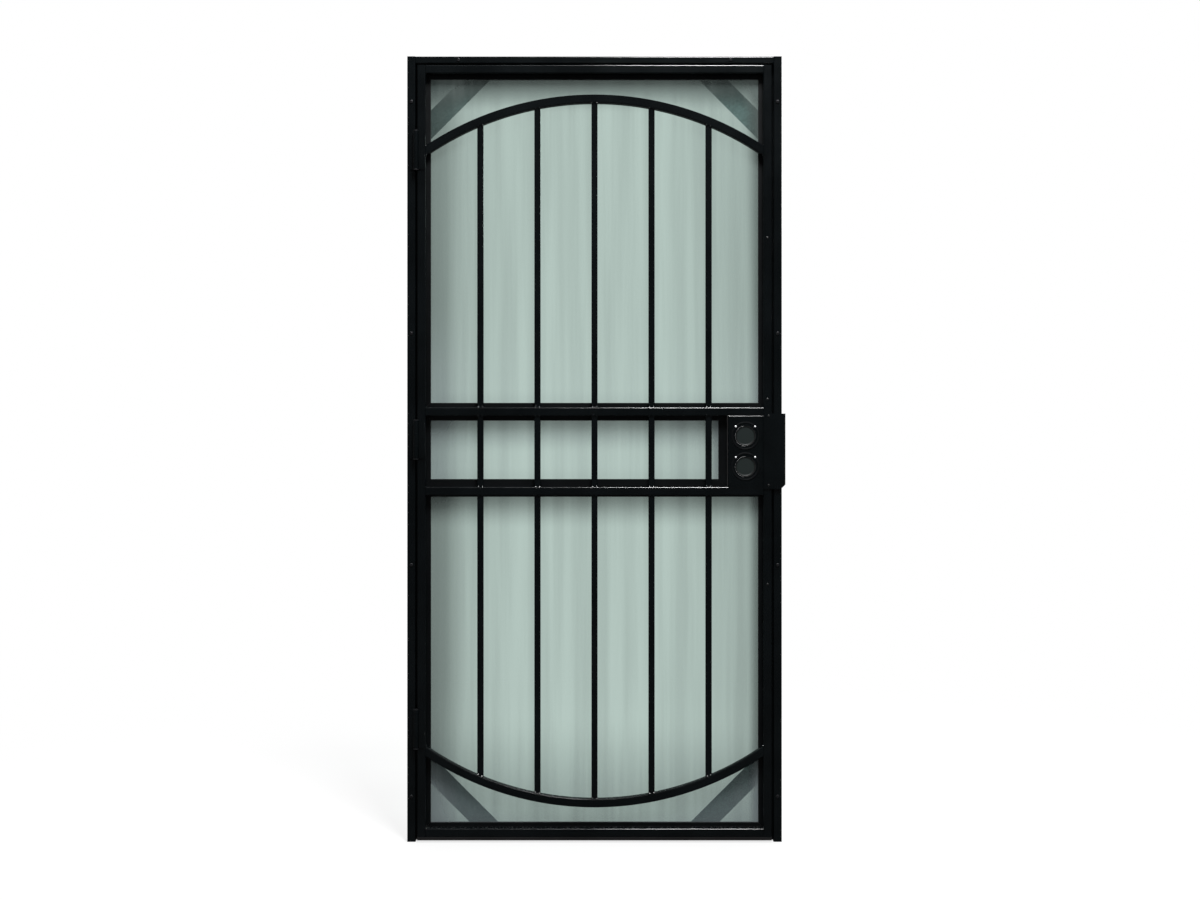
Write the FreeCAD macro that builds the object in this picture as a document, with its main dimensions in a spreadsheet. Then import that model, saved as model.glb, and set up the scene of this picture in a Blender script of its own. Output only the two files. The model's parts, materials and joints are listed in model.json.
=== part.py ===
"""Steel security door: a welded grille leaf with three framed glass inserts, hung in a tube frame.

Millimetres. +X runs from the hinge side to the lock side, +Y runs through the doorway into the house,
+Z is up. The origin is at floor level on the back of the hinge jamb, in the middle of its width, where
the frame meets the wall.
"""
import FreeCAD
import Part
import Sketcher
import os

doc = FreeCAD.newDocument("security_door")

# Driving dimensions, in millimetres

SIZES = (
    ("frame_width", 990.6),
    ("frame_height", 2076.5),
    ("jamb_face", 22.0),
    ("head_face", 18.5),
    ("jamb_depth", 40.0),
    ("jamb_wall", 1.6),
    ("stop_reach", 10.0),
    ("stop_thickness", 3.0),
    ("screw_hole_radius", 2.75),
    ("screw_inset", 120.0),
    ("head_screw_spacing", 720.0),
    ("leaf_gap", 5.0),
    ("leaf_proud", 5.0),
    ("floor_gap", 5.0),
    ("tube_face", 22.2),
    ("tube_depth", 25.4),
    ("tube_wall", 1.5),
    ("tube_round", 3.0),
    ("cap_length", 8.0),
    ("sweep_height", 8.5),
    ("sweep_wall", 2.0),
    ("upper_rail_height", 1137.4),
    ("lower_rail_height", 927.0),
    ("arch_shoulder_height", 190.0),
    ("arch_rise", 134.5),
    ("arch_face", 22.0),
    ("arch_depth", 22.0),
    ("arch_wall", 1.5),
    ("arch_chamfer", 2.0),
    ("bar_size", 16.0),
    ("bar_wall", 1.2),
    ("bar_chamfer", 1.4),
    ("bar_pitch", 151.0),
    ("weld_gap", 0.2),
    ("insert_face", 22.0),
    ("insert_depth", 10.0),
    ("insert_rim", 10.0),
    ("insert_seam", 0.6),
    ("lower_seam_rise", 8.0),
    ("mitre_gap", 0.2),
    ("glass_thickness", 4.0),
    ("glass_bite", 8.0),
    ("glass_clearance", 0.3),
    ("top_strap_reach", 202.0),
    ("bottom_strap_reach", 224.0),
    ("strap_width", 54.0),
    ("strap_thickness", 2.5),
    ("strap_inset", 3.0),
    ("lock_box_width", 93.0),
    ("lock_box_depth", 42.0),
    ("lock_box_wall", 2.0),
    ("lock_box_proud", 1.0),
    ("lock_box_round", 1.6),
    ("bore_radius", 27.0),
    ("bore_backset", 69.85),
    ("bore_spacing", 81.0),
    ("ring_radius", 35.0),
    ("ring_width", 6.0),
    ("ring_crest", 2.0),
    ("ring_height", 1.4),
    ("latch_slot_height", 26.0),
    ("latch_slot_depth", 11.0),
    ("guard_thickness", 3.0),
    ("guard_overhang", 8.5),
    ("guard_overlap", 5.5),
    ("guard_chamfer", 12.0),
    ("hinge_height", 100.0),
    ("hinge_top_inset", 250.0),
    ("hinge_bottom_inset", 300.0),
    ("hinge_plate", 3.0),
    ("hinge_plate_width", 16.0),
    ("hinge_plate_setback", 6.5),
    ("hinge_web", 4.0),
    ("barrel_radius", 6.5),
    ("barrel_proud", 8.0),
    ("knuckle_gap", 0.5),
    ("pin_radius", 4.0),
    ("pin_clearance", 0.05),
    ("pin_head_height", 3.0),
)
BAR_COUNT = 5
JAMB_SCREWS = 4
HEAD_SCREWS = 2
LOCK_BORES = 2

sheet = doc.addObject("Spreadsheet::Sheet", "sizes")
for row, (name, value) in enumerate(SIZES, start=1):
    sheet.set(f"A{row}", name)
    sheet.set(f"B{row}", str(value))
    sheet.setAlias(f"B{row}", name)
doc.recompute()

# Places worked out from the driving dimensions, as expressions

LEAF_LEFT = "(sizes.jamb_face / 2 + sizes.leaf_gap)"
LEAF_WIDTH = "(sizes.frame_width - 2 * sizes.jamb_face - 2 * sizes.leaf_gap)"
LEAF_RIGHT = f"({LEAF_LEFT} + {LEAF_WIDTH})"
MIDDLE_X = f"({LEAF_LEFT} + {LEAF_WIDTH} / 2)"
STRIKE_LEFT = f"({LEAF_RIGHT} + sizes.leaf_gap)"
HEAD_BOTTOM = "(sizes.frame_height - sizes.head_face)"
DAYLIGHT_LEFT = f"({LEAF_LEFT} + sizes.tube_face)"
DAYLIGHT_RIGHT = f"({LEAF_RIGHT} - sizes.tube_face)"
DAYLIGHT_WIDTH = f"({LEAF_WIDTH} - 2 * sizes.tube_face)"

JAMB_FRONT = "(-sizes.jamb_depth)"
LEAF_FRONT = "(-sizes.jamb_depth - sizes.leaf_proud)"
LEAF_BACK = f"({LEAF_FRONT} + sizes.tube_depth)"
LEAF_MID_DEPTH = f"({LEAF_FRONT} + sizes.tube_depth / 2)"
INSERT_BACK = f"({LEAF_BACK} + sizes.insert_depth)"

LEAF_BOTTOM = "(sizes.floor_gap + sizes.sweep_height)"
LEAF_TOP = f"({HEAD_BOTTOM} - sizes.leaf_gap)"
LEAF_HEIGHT = f"({LEAF_TOP} - {LEAF_BOTTOM})"
DAYLIGHT_BOTTOM = f"({LEAF_BOTTOM} + sizes.tube_face)"
DAYLIGHT_TOP = f"({LEAF_TOP} - sizes.tube_face)"
UPPER_RAIL_BOTTOM = "(sizes.upper_rail_height - sizes.tube_face / 2)"
LOWER_RAIL_BOTTOM = "(sizes.lower_rail_height - sizes.tube_face / 2)"
LOWER_RAIL_TOP = f"({LOWER_RAIL_BOTTOM} + sizes.tube_face)"
UPPER_RAIL_TOP = f"({UPPER_RAIL_BOTTOM} + sizes.tube_face)"

ARCH_RADIUS = f"(({DAYLIGHT_WIDTH} ^ 2 / 4 + sizes.arch_rise ^ 2) / (2 * sizes.arch_rise))"
ARCH_BORE = f"({ARCH_RADIUS} - sizes.arch_face)"
ARCH_OFFSET = f"({ARCH_RADIUS} + sizes.arch_shoulder_height - sizes.arch_rise)"
TOP_ARCH_CENTRE = f"({DAYLIGHT_TOP} - {ARCH_OFFSET})"
BOTTOM_ARCH_CENTRE = f"({DAYLIGHT_BOTTOM} + {ARCH_OFFSET})"

LOCK_BOX_LEFT = f"({DAYLIGHT_RIGHT} - sizes.lock_box_width)"
LOCK_BOX_FRONT = f"({LEAF_FRONT} - sizes.lock_box_proud)"
LOCK_BOX_HEIGHT = f"({UPPER_RAIL_BOTTOM} - {LOWER_RAIL_TOP})"
BORE_X = f"({LEAF_RIGHT} - sizes.bore_backset)"
LATCH_HEIGHT = f"(({UPPER_RAIL_BOTTOM} + {LOWER_RAIL_TOP}) / 2 - sizes.bore_spacing / 2)"
DEADBOLT_HEIGHT = f"({LATCH_HEIGHT} + sizes.bore_spacing)"

HINGE_X = f"({LEAF_LEFT} - sizes.leaf_gap / 2)"
HINGE_Y = f"({LEAF_FRONT} - sizes.barrel_proud)"
LOWER_HINGE = "sizes.hinge_bottom_inset"
UPPER_HINGE = "(sizes.frame_height - sizes.hinge_top_inset)"
MIDDLE_HINGE = f"(({LOWER_HINGE} + {UPPER_HINGE}) / 2)"
KNUCKLE = "(sizes.hinge_height / 3)"

# Two coordinates this close, in millimetres, are one place
SAME_PLACE = 0.01

subparts = []


def measure(expression):
    """The value that an expression has with the sheet's present sizes."""
    return float(sheet.evalExpression(expression))


def place(thing, x, y, z):
    """Ties an object's place to three expressions."""
    for axis, expression in zip("xyz", (x, y, z)):
        thing.setExpression(f"Placement.Base.{axis}", expression)


def keep(thing, label):
    """Names an object as one sub-part of the door."""
    thing.Label = label
    subparts.append(thing)
    return thing


# Sketches and the features that they drive


def new_sketch(body, role, x="0", y="0", z="0"):
    """A sketch on one of a body's own origin planes, shifted by expressions in the sketch's own axes."""
    plane = next(feature for feature in body.Origin.OriginFeatures if feature.Role == role)
    sketch = body.newObject("Sketcher::SketchObject", "profile")
    sketch.AttachmentSupport = (plane, [""])
    sketch.MapMode = "FlatFace"
    for axis, expression in zip("xyz", (x, y, z)):
        sketch.setExpression(f"AttachmentOffset.Base.{axis}", expression)
    return sketch


def constrain(sketch, kind, items, expression):
    """Adds a driving dimension and ties it to an expression."""
    index = sketch.addConstraint(Sketcher.Constraint(kind, *items, measure(expression)))
    sketch.setExpression(f"Constraints[{index}]", expression)


def draw_outline(sketch, points):
    """Joins corner points, given as pairs of expressions, by straight lines into a closed outline."""
    first = sketch.GeometryCount
    corners = [FreeCAD.Vector(measure(x), measure(y), 0) for x, y in points]
    for start, end in zip(corners, corners[1:] + corners[:1]):
        sketch.addGeometry(Part.LineSegment(start, end))
    lines = list(range(first, first + len(points)))
    for line, following in zip(lines, lines[1:] + lines[:1]):
        sketch.addConstraint(Sketcher.Constraint("Coincident", line, 2, following, 1))
    for line, (x, y) in zip(lines, points):
        constrain(sketch, "DistanceX", (-1, 1, line, 1), x)
        constrain(sketch, "DistanceY", (-1, 1, line, 1), y)


def draw_rectangle(sketch, width, height, left="0", bottom="0"):
    right = f"({left} + {width})"
    top = f"({bottom} + {height})"
    draw_outline(sketch, ((left, bottom), (right, bottom), (right, top), (left, top)))


def draw_circle(sketch, x, y, radius):
    centre = FreeCAD.Vector(measure(x), measure(y), 0)
    circle = sketch.addGeometry(Part.Circle(centre, FreeCAD.Vector(0, 0, 1), measure(radius)))
    constrain(sketch, "DistanceX", (-1, 1, circle, 3), x)
    constrain(sketch, "DistanceY", (-1, 1, circle, 3), y)
    constrain(sketch, "Radius", (circle,), radius)


def add_pad(body, sketch, length, reverse=False):
    pad = body.newObject("PartDesign::Pad", "pad")
    pad.Profile = sketch
    pad.Reversed = reverse
    pad.setExpression("Length", length)
    doc.recompute()
    return pad


def add_pocket(body, sketch, length=None, reverse=False):
    """Cuts a sketch through everything, or to a length on one side, and checks that metal came off."""
    before = body.Shape.Volume
    pocket = body.newObject("PartDesign::Pocket", "pocket")
    pocket.Profile = sketch
    if length is None:
        pocket.Type = "ThroughAll"
        pocket.SideType = "Symmetric"
    else:
        pocket.Reversed = reverse
        pocket.setExpression("Length", length)
    doc.recompute()
    if body.Shape.Volume >= before:
        raise RuntimeError(f"the cut in {body.Label} took nothing off")
    return pocket


def repeat_along(body, feature, sketch, axis, count, length):
    """Repeats a cut in a row along one axis of its sketch."""
    pattern = body.newObject("PartDesign::LinearPattern", "row")
    pattern.Originals = [feature]
    pattern.Direction = (sketch, [axis])
    pattern.Occurrences = count
    pattern.setExpression("Length", length)
    body.Tip = pattern
    doc.recompute()


def add_turning(body, sketch):
    """Turns a sketch right round its own upright axis."""
    turned = body.newObject("PartDesign::Revolution", "turned")
    turned.Profile = sketch
    turned.ReferenceAxis = (sketch, ["V_Axis"])
    turned.Angle = 360
    doc.recompute()
    return turned


def round_edges(body, pad, wanted, radius):
    """Rounds those edges of a pad whose middle passes a test."""
    names = [
        f"Edge{number}"
        for number, edge in enumerate(pad.Shape.Edges, start=1)
        if wanted(edge.CenterOfMass)
    ]
    fillet = body.newObject("PartDesign::Fillet", "rounding")
    fillet.Base = (pad, names)
    fillet.setExpression("Radius", radius)
    body.Tip = fillet
    doc.recompute()


def meets(value, *limits):
    """Whether a coordinate lies on one of some limits."""
    return min(abs(value - limit) for limit in limits) < SAME_PLACE


def new_body(label, x, y, z, turn=FreeCAD.Rotation()):
    body = doc.addObject("PartDesign::Body", label)
    body.Label = label
    body.Placement = FreeCAD.Placement(FreeCAD.Vector(), turn)
    place(body, x, y, z)
    return body


def tube(label, run, corner, face, depth, wall, rounding, length):
    """A cut length of rectangular steel tube along X or Z, from its low corner, with rounded edges."""
    body = new_body(label, *corner)
    sketch = new_sketch(body, "XY_Plane" if run == "Z" else "YZ_Plane")
    width, height = (face, depth) if run == "Z" else (depth, face)
    draw_rectangle(sketch, width, height)
    draw_rectangle(sketch, f"({width} - 2 * {wall})", f"({height} - 2 * {wall})", wall, wall)
    pad = add_pad(body, sketch, length)
    limits = pad.Shape.BoundBox

    def outer_corner(middle):
        at_side = meets(middle.x, limits.XMin, limits.XMax)
        if run == "X":
            at_side = meets(middle.z, limits.ZMin, limits.ZMax)
        return at_side and meets(middle.y, limits.YMin, limits.YMax)

    round_edges(body, pad, outer_corner, rounding)
    return body


def draw_grille_section(sketch, left, width, height, chamfer, wall):
    """The section of a grille tube: an outline with its corners taken off, and a square hollow."""
    right = f"({left} + {width})"
    outline = (
        (f"({left} + {chamfer})", "0"),
        (f"({right} - {chamfer})", "0"),
        (right, chamfer),
        (right, f"({height} - {chamfer})"),
        (f"({right} - {chamfer})", height),
        (f"({left} + {chamfer})", height),
        (left, f"({height} - {chamfer})"),
        (left, chamfer),
    )
    draw_outline(sketch, outline)
    hollow = (f"({width} - 2 * {wall})", f"({height} - 2 * {wall})")
    draw_rectangle(sketch, *hollow, f"({left} + {wall})", wall)


# Part primitives


def box(x, y, z, length, width, height, turn=FreeCAD.Rotation()):
    """A block from its low corner, about which it may be turned."""
    solid = doc.addObject("Part::Box", "block")
    solid.Placement = FreeCAD.Placement(FreeCAD.Vector(), turn)
    for side, expression in zip(("Length", "Width", "Height"), (length, width, height)):
        solid.setExpression(side, expression)
    place(solid, x, y, z)
    return solid


def cylinder(x, y, z, radius, height, turn=FreeCAD.Rotation()):
    """A cylinder that starts at a point and runs up, or the way that its turn sends up."""
    solid = doc.addObject("Part::Cylinder", "round")
    solid.Placement = FreeCAD.Placement(FreeCAD.Vector(), turn)
    solid.setExpression("Radius", radius)
    solid.setExpression("Height", height)
    place(solid, x, y, z)
    return solid


def cut(base, tool):
    result = doc.addObject("Part::Cut", "cut")
    result.Base = base
    result.Tool = tool
    return result


def common(base, tool):
    result = doc.addObject("Part::Common", "common")
    result.Base = base
    result.Tool = tool
    return result


def fuse(*pieces):
    result = doc.addObject("Part::MultiFuse", "fuse")
    result.Shapes = list(pieces)
    return result


def gather(*pieces):
    """Solids of one sub-part that don't touch each other."""
    result = doc.addObject("Part::Compound", "set")
    result.Links = list(pieces)
    return result


INTO_HOUSE = FreeCAD.Rotation(FreeCAD.Vector(1, 0, 0), -90)

# The frame: two jambs and a head of tube, screwed to the wall, with a stop bar inside each


def jamb(label, left):
    body = tube(
        label, "Z", (left, JAMB_FRONT, "0"),
        "sizes.jamb_face", "sizes.jamb_depth", "sizes.jamb_wall", "sizes.tube_round", "sizes.frame_height",
    )
    holes = new_sketch(body, "XZ_Plane")
    draw_circle(holes, "sizes.jamb_face / 2", "sizes.screw_inset", "sizes.screw_hole_radius")
    hole = add_pocket(body, holes)
    repeat_along(body, hole, holes, "V_Axis", JAMB_SCREWS, "sizes.frame_height - 2 * sizes.screw_inset")
    return keep(body, label)


jamb("hinge_jamb", "-sizes.jamb_face / 2")
strike_jamb = jamb("strike_jamb", STRIKE_LEFT)
strikes = new_sketch(strike_jamb, "YZ_Plane")
draw_rectangle(
    strikes, "sizes.latch_slot_depth", "sizes.latch_slot_height",
    f"({LEAF_MID_DEPTH} - {JAMB_FRONT} - sizes.latch_slot_depth / 2)",
    f"({LATCH_HEIGHT} - sizes.latch_slot_height / 2)",
)
strike = add_pocket(strike_jamb, strikes, "2 * sizes.jamb_wall", reverse=True)
repeat_along(strike_jamb, strike, strikes, "V_Axis", LOCK_BORES, "sizes.bore_spacing")

HEAD_LENGTH = "(sizes.frame_width - 2 * sizes.jamb_face)"
head = tube(
    "head_jamb", "X", ("sizes.jamb_face / 2", JAMB_FRONT, HEAD_BOTTOM),
    "sizes.head_face", "sizes.jamb_depth", "sizes.jamb_wall", "sizes.tube_round", HEAD_LENGTH,
)
head_holes = new_sketch(head, "XZ_Plane")
draw_circle(
    head_holes, f"({HEAD_LENGTH} - sizes.head_screw_spacing) / 2", "sizes.head_face / 2",
    "sizes.screw_hole_radius",
)
head_hole = add_pocket(head, head_holes)
repeat_along(head, head_hole, head_holes, "H_Axis", HEAD_SCREWS, "sizes.head_screw_spacing")
keep(head, "head_jamb")

STOP_FRONT = f"({LEAF_BACK} + sizes.leaf_gap)"
SIDE_STOP = ("sizes.stop_reach", "sizes.stop_thickness", HEAD_BOTTOM)
keep(box("sizes.jamb_face / 2", STOP_FRONT, "0", *SIDE_STOP), "hinge_stop")
keep(box(f"({STRIKE_LEFT} - sizes.stop_reach)", STOP_FRONT, "0", *SIDE_STOP), "strike_stop")
keep(
    box(
        "(sizes.jamb_face / 2 + sizes.stop_reach)", STOP_FRONT, f"({HEAD_BOTTOM} - sizes.stop_reach)",
        f"({HEAD_LENGTH} - 2 * sizes.stop_reach)", "sizes.stop_thickness", "sizes.stop_reach",
    ),
    "head_stop",
)


def tube_plug(left, front, top, face, depth, wall):
    """A cap that fills the open end of an upright tube."""
    return box(
        f"({left} + {wall})", f"({front} + {wall})", f"({top} - sizes.cap_length)",
        f"({face} - 2 * {wall})", f"({depth} - 2 * {wall})", "sizes.cap_length",
    )


JAMB_SECTION = ("sizes.jamb_face", "sizes.jamb_depth", "sizes.jamb_wall")
keep(
    gather(
        tube_plug("-sizes.jamb_face / 2", JAMB_FRONT, "sizes.frame_height", *JAMB_SECTION),
        tube_plug(STRIKE_LEFT, JAMB_FRONT, "sizes.frame_height", *JAMB_SECTION),
    ),
    "jamb_caps",
)

# The leaf: stiles, rails and mid rails of one tube, welded square

LEAF_SECTION = ("sizes.tube_face", "sizes.tube_depth", "sizes.tube_wall")


def stile(label, left):
    corner = (left, LEAF_FRONT, LEAF_BOTTOM)
    return keep(tube(label, "Z", corner, *LEAF_SECTION, "sizes.tube_round", LEAF_HEIGHT), label)


def rail(label, bottom):
    corner = (DAYLIGHT_LEFT, LEAF_FRONT, bottom)
    return keep(tube(label, "X", corner, *LEAF_SECTION, "sizes.tube_round", DAYLIGHT_WIDTH), label)


stile("hinge_stile", LEAF_LEFT)
lock_stile = stile("lock_stile", DAYLIGHT_RIGHT)
latch_ways = new_sketch(lock_stile, "YZ_Plane")
draw_rectangle(
    latch_ways, "sizes.latch_slot_depth", "sizes.latch_slot_height",
    "(sizes.tube_depth - sizes.latch_slot_depth) / 2",
    f"({LATCH_HEIGHT} - {LEAF_BOTTOM} - sizes.latch_slot_height / 2)",
)
latch_way = add_pocket(lock_stile, latch_ways)
repeat_along(lock_stile, latch_way, latch_ways, "V_Axis", LOCK_BORES, "sizes.bore_spacing")
keep(
    gather(
        tube_plug(LEAF_LEFT, LEAF_FRONT, LEAF_TOP, *LEAF_SECTION),
        tube_plug(DAYLIGHT_RIGHT, LEAF_FRONT, LEAF_TOP, *LEAF_SECTION),
    ),
    "stile_caps",
)

rail("top_rail", DAYLIGHT_TOP)
rail("bottom_rail", LEAF_BOTTOM)
rail("upper_mid_rail", UPPER_RAIL_BOTTOM)
rail("lower_mid_rail", LOWER_RAIL_BOTTOM)

# A channel under the leaf with a fin at each face, which closes the gap to the floor

sweep = new_body("bottom_sweep", LEAF_LEFT, LEAF_FRONT, "sizes.floor_gap")
sweep_profile = new_sketch(sweep, "YZ_Plane")
draw_outline(
    sweep_profile,
    (
        ("0", "0"),
        ("sizes.sweep_wall", "0"),
        ("sizes.sweep_wall", "(sizes.sweep_height - sizes.sweep_wall)"),
        ("(sizes.tube_depth - sizes.sweep_wall)", "(sizes.sweep_height - sizes.sweep_wall)"),
        ("(sizes.tube_depth - sizes.sweep_wall)", "0"),
        ("sizes.tube_depth", "0"),
        ("sizes.tube_depth", "sizes.sweep_height"),
        ("0", "sizes.sweep_height"),
    ),
)
add_pad(sweep, sweep_profile, LEAF_WIDTH)
keep(sweep, "bottom_sweep")

# Two arches of bent square tube, and five bars in three lengths each, coped to meet the arches

ARCH_FRONT = f"({LEAF_MID_DEPTH} - sizes.arch_depth / 2)"
ARCH_REACH = "(sizes.arch_rise + 2 * sizes.arch_face)"


def arch(label, centre, low):
    """Tube bent to a hoop, of which the part between the stiles is used, from a height up."""
    hoop = new_body(f"{label}_hoop", MIDDLE_X, ARCH_FRONT, centre)
    section = new_sketch(hoop, "XY_Plane")
    draw_grille_section(
        section, ARCH_BORE, "sizes.arch_face", "sizes.arch_depth", "sizes.arch_chamfer", "sizes.arch_wall",
    )
    add_turning(hoop, section)
    span = box(DAYLIGHT_LEFT, ARCH_FRONT, low, DAYLIGHT_WIDTH, "sizes.arch_depth", ARCH_REACH)
    return keep(common(hoop, span), label)


arch("top_arch", TOP_ARCH_CENTRE, f"({DAYLIGHT_TOP} - sizes.arch_shoulder_height - 2 * sizes.arch_face)")
arch("bottom_arch", BOTTOM_ARCH_CENTRE, f"({DAYLIGHT_BOTTOM} + sizes.arch_shoulder_height - sizes.arch_rise)")

BAR_FRONT = f"({LEAF_MID_DEPTH} - sizes.bar_size / 2)"
BAR_SECTION = ("sizes.bar_size", "sizes.bar_size", "sizes.bar_chamfer", "sizes.bar_wall")
COPE = f"({ARCH_BORE} - sizes.weld_gap)"


def bar(number):
    """One upright line of the grille: from arch to rail, between the rails, and from rail to arch."""
    left = f"({MIDDLE_X} + {number - (BAR_COUNT + 1) / 2} * sizes.bar_pitch - sizes.bar_size / 2)"
    spans = (
        ("top", UPPER_RAIL_TOP, f"({DAYLIGHT_TOP} - {UPPER_RAIL_TOP})", TOP_ARCH_CENTRE),
        ("middle", LOWER_RAIL_TOP, LOCK_BOX_HEIGHT, None),
        ("foot", DAYLIGHT_BOTTOM, f"({LOWER_RAIL_BOTTOM} - {DAYLIGHT_BOTTOM})", BOTTOM_ARCH_CENTRE),
    )
    lengths = []
    for part_name, low, height, arch_centre in spans:
        piece = new_body(f"bar_{number}_{part_name}", left, BAR_FRONT, low)
        section = new_sketch(piece, "XY_Plane")
        draw_grille_section(section, "0", *BAR_SECTION)
        add_pad(piece, section, height)
        if arch_centre:
            inside_arch = cylinder(MIDDLE_X, BAR_FRONT, arch_centre, COPE, "sizes.bar_size", INTO_HOUSE)
            piece = common(piece, inside_arch)
        lengths.append(piece)
    return keep(gather(*lengths), f"bar_{number}")


for bar_number in range(1, BAR_COUNT + 1):
    bar(bar_number)

# Three glass inserts in mitred channel frames, against the back of the leaf

INSERT_OVERLAP = "(sizes.insert_face - sizes.insert_rim)"
INSERT_LEFT = f"({DAYLIGHT_LEFT} - {INSERT_OVERLAP})"
INSERT_RIGHT = f"({DAYLIGHT_RIGHT} + {INSERT_OVERLAP})"
INSERT_BOTTOM = f"({DAYLIGHT_BOTTOM} - {INSERT_OVERLAP})"
INSERT_TOP = f"({DAYLIGHT_TOP} + {INSERT_OVERLAP})"
GLASS_FRONT = f"({LEAF_BACK} + (sizes.insert_depth - sizes.glass_thickness) / 2)"
# A blade twice as long as the channel is wide reaches past the inner corner
MITRE_LENGTH = "(2 * sizes.insert_face)"


def turn_about_depth(degrees):
    return FreeCAD.Rotation(FreeCAD.Vector(0, 1, 0), degrees)


def mitre_saw(x, z, degrees):
    """A thin upright blade through a frame corner, which parts the two channels that meet there."""
    return box(
        x, LEAF_BACK, z,
        MITRE_LENGTH, "sizes.insert_depth", "sizes.mitre_gap",
        turn_about_depth(degrees),
    )


def insert(name, left, right, bottom, top):
    face = "sizes.insert_face"
    width = f"({right} - {left})"
    height = f"({top} - {bottom})"
    slab = box(left, LEAF_BACK, bottom, width, "sizes.insert_depth", height)
    daylight = box(
        f"({left} + {face})", LEAF_BACK, f"({bottom} + {face})",
        f"({width} - 2 * {face})", "sizes.insert_depth", f"({height} - 2 * {face})",
    )

    def glass_block(margin):
        """The glass, or its groove, from the frame's edge in by a margin."""
        return box(
            f"({left} + {margin})", GLASS_FRONT, f"({bottom} + {margin})",
            f"({width} - 2 * {margin})", "sizes.glass_thickness", f"({height} - 2 * {margin})",
        )

    groove_margin = f"({face} - sizes.glass_bite)"
    blades = gather(
        mitre_saw(left, bottom, -45),
        mitre_saw(right, bottom, -135),
        mitre_saw(right, top, 135),
        mitre_saw(left, top, 45),
    )
    channel = cut(cut(slab, daylight), glass_block(groove_margin))
    keep(cut(channel, blades), f"{name}_insert_frame")
    keep(glass_block(f"({groove_margin} + sizes.glass_clearance)"), f"{name}_glass")


HALF_SEAM = "(sizes.insert_seam / 2)"
UPPER_SEAM = "sizes.upper_rail_height"
LOWER_SEAM = "(sizes.lower_rail_height + sizes.lower_seam_rise)"
insert("upper", INSERT_LEFT, INSERT_RIGHT, f"({UPPER_SEAM} + {HALF_SEAM})", INSERT_TOP)
insert(
    "middle", INSERT_LEFT, f"({LOCK_BOX_LEFT} - sizes.insert_seam)",
    f"({LOWER_SEAM} + {HALF_SEAM})", f"({UPPER_SEAM} - {HALF_SEAM})",
)
insert("lower", INSERT_LEFT, INSERT_RIGHT, INSERT_BOTTOM, f"({LOWER_SEAM} - {HALF_SEAM})")

# Flat straps across the four corners, on the back of the inserts


def corner_strap(label, x, z, quarter_turns, reach):
    body = new_body(label, x, INSERT_BACK, z, turn_about_depth(90 * quarter_turns))
    sketch = new_sketch(body, "XZ_Plane")
    far = f"({reach} - sizes.strap_inset)"
    near = f"({far} - sizes.strap_width * sqrt(2))"
    edge = "sizes.strap_inset"
    draw_outline(sketch, ((near, edge), (far, edge), (edge, far), (edge, near)))
    add_pad(body, sketch, "sizes.strap_thickness", reverse=True)
    return keep(body, label)


corner_strap("lower_hinge_side_strap", INSERT_LEFT, INSERT_BOTTOM, 0, "sizes.bottom_strap_reach")
corner_strap("upper_hinge_side_strap", INSERT_LEFT, INSERT_TOP, 1, "sizes.top_strap_reach")
corner_strap("upper_lock_side_strap", INSERT_RIGHT, INSERT_TOP, 2, "sizes.top_strap_reach")
corner_strap("lower_lock_side_strap", INSERT_RIGHT, INSERT_BOTTOM, 3, "sizes.bottom_strap_reach")

# The lock box between the mid rails, its two bores with a ring round each, and the guard over the strike

lock_box = new_body("lock_box", LOCK_BOX_LEFT, LOCK_BOX_FRONT, LOWER_RAIL_TOP)
lock_front = new_sketch(lock_box, "XZ_Plane")
draw_rectangle(lock_front, "sizes.lock_box_width", LOCK_BOX_HEIGHT)
lock_pad = add_pad(lock_box, lock_front, "sizes.lock_box_depth", reverse=True)
lock_face = lock_pad.Shape.BoundBox.YMin
round_edges(lock_box, lock_pad, lambda middle: meets(middle.y, lock_face), "sizes.lock_box_round")
lock_hollow = new_sketch(lock_box, "YZ_Plane", z="sizes.lock_box_wall")
draw_rectangle(
    lock_hollow,
    "(sizes.lock_box_depth - 2 * sizes.lock_box_wall)", f"({LOCK_BOX_HEIGHT} - 2 * sizes.lock_box_wall)",
    "sizes.lock_box_wall", "sizes.lock_box_wall",
)
add_pocket(lock_box, lock_hollow, "sizes.lock_box_width", reverse=True)
lock_bores = new_sketch(lock_box, "XZ_Plane")
draw_circle(
    lock_bores, f"({BORE_X} - {LOCK_BOX_LEFT})", f"({LATCH_HEIGHT} - {LOWER_RAIL_TOP})", "sizes.bore_radius",
)
lock_bore = add_pocket(lock_box, lock_bores)
repeat_along(lock_box, lock_bore, lock_bores, "V_Axis", LOCK_BORES, "sizes.bore_spacing")
keep(lock_box, "lock_box")


def bore_ring(label, height):
    """A low ridge of steel about a lock bore, with sloping sides and a flat crest."""
    body = new_body(label, BORE_X, LOCK_BOX_FRONT, height)
    sketch = new_sketch(body, "XY_Plane")
    crest_depth = "(-sizes.ring_height)"
    profile = (
        ("(sizes.ring_radius - sizes.ring_width / 2)", "0"),
        ("(sizes.ring_radius - sizes.ring_crest / 2)", crest_depth),
        ("(sizes.ring_radius + sizes.ring_crest / 2)", crest_depth),
        ("(sizes.ring_radius + sizes.ring_width / 2)", "0"),
    )
    draw_outline(sketch, profile)
    add_turning(body, sketch)
    return keep(body, label)


bore_ring("latch_bore_ring", LATCH_HEIGHT)
bore_ring("deadbolt_bore_ring", DEADBOLT_HEIGHT)

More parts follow.
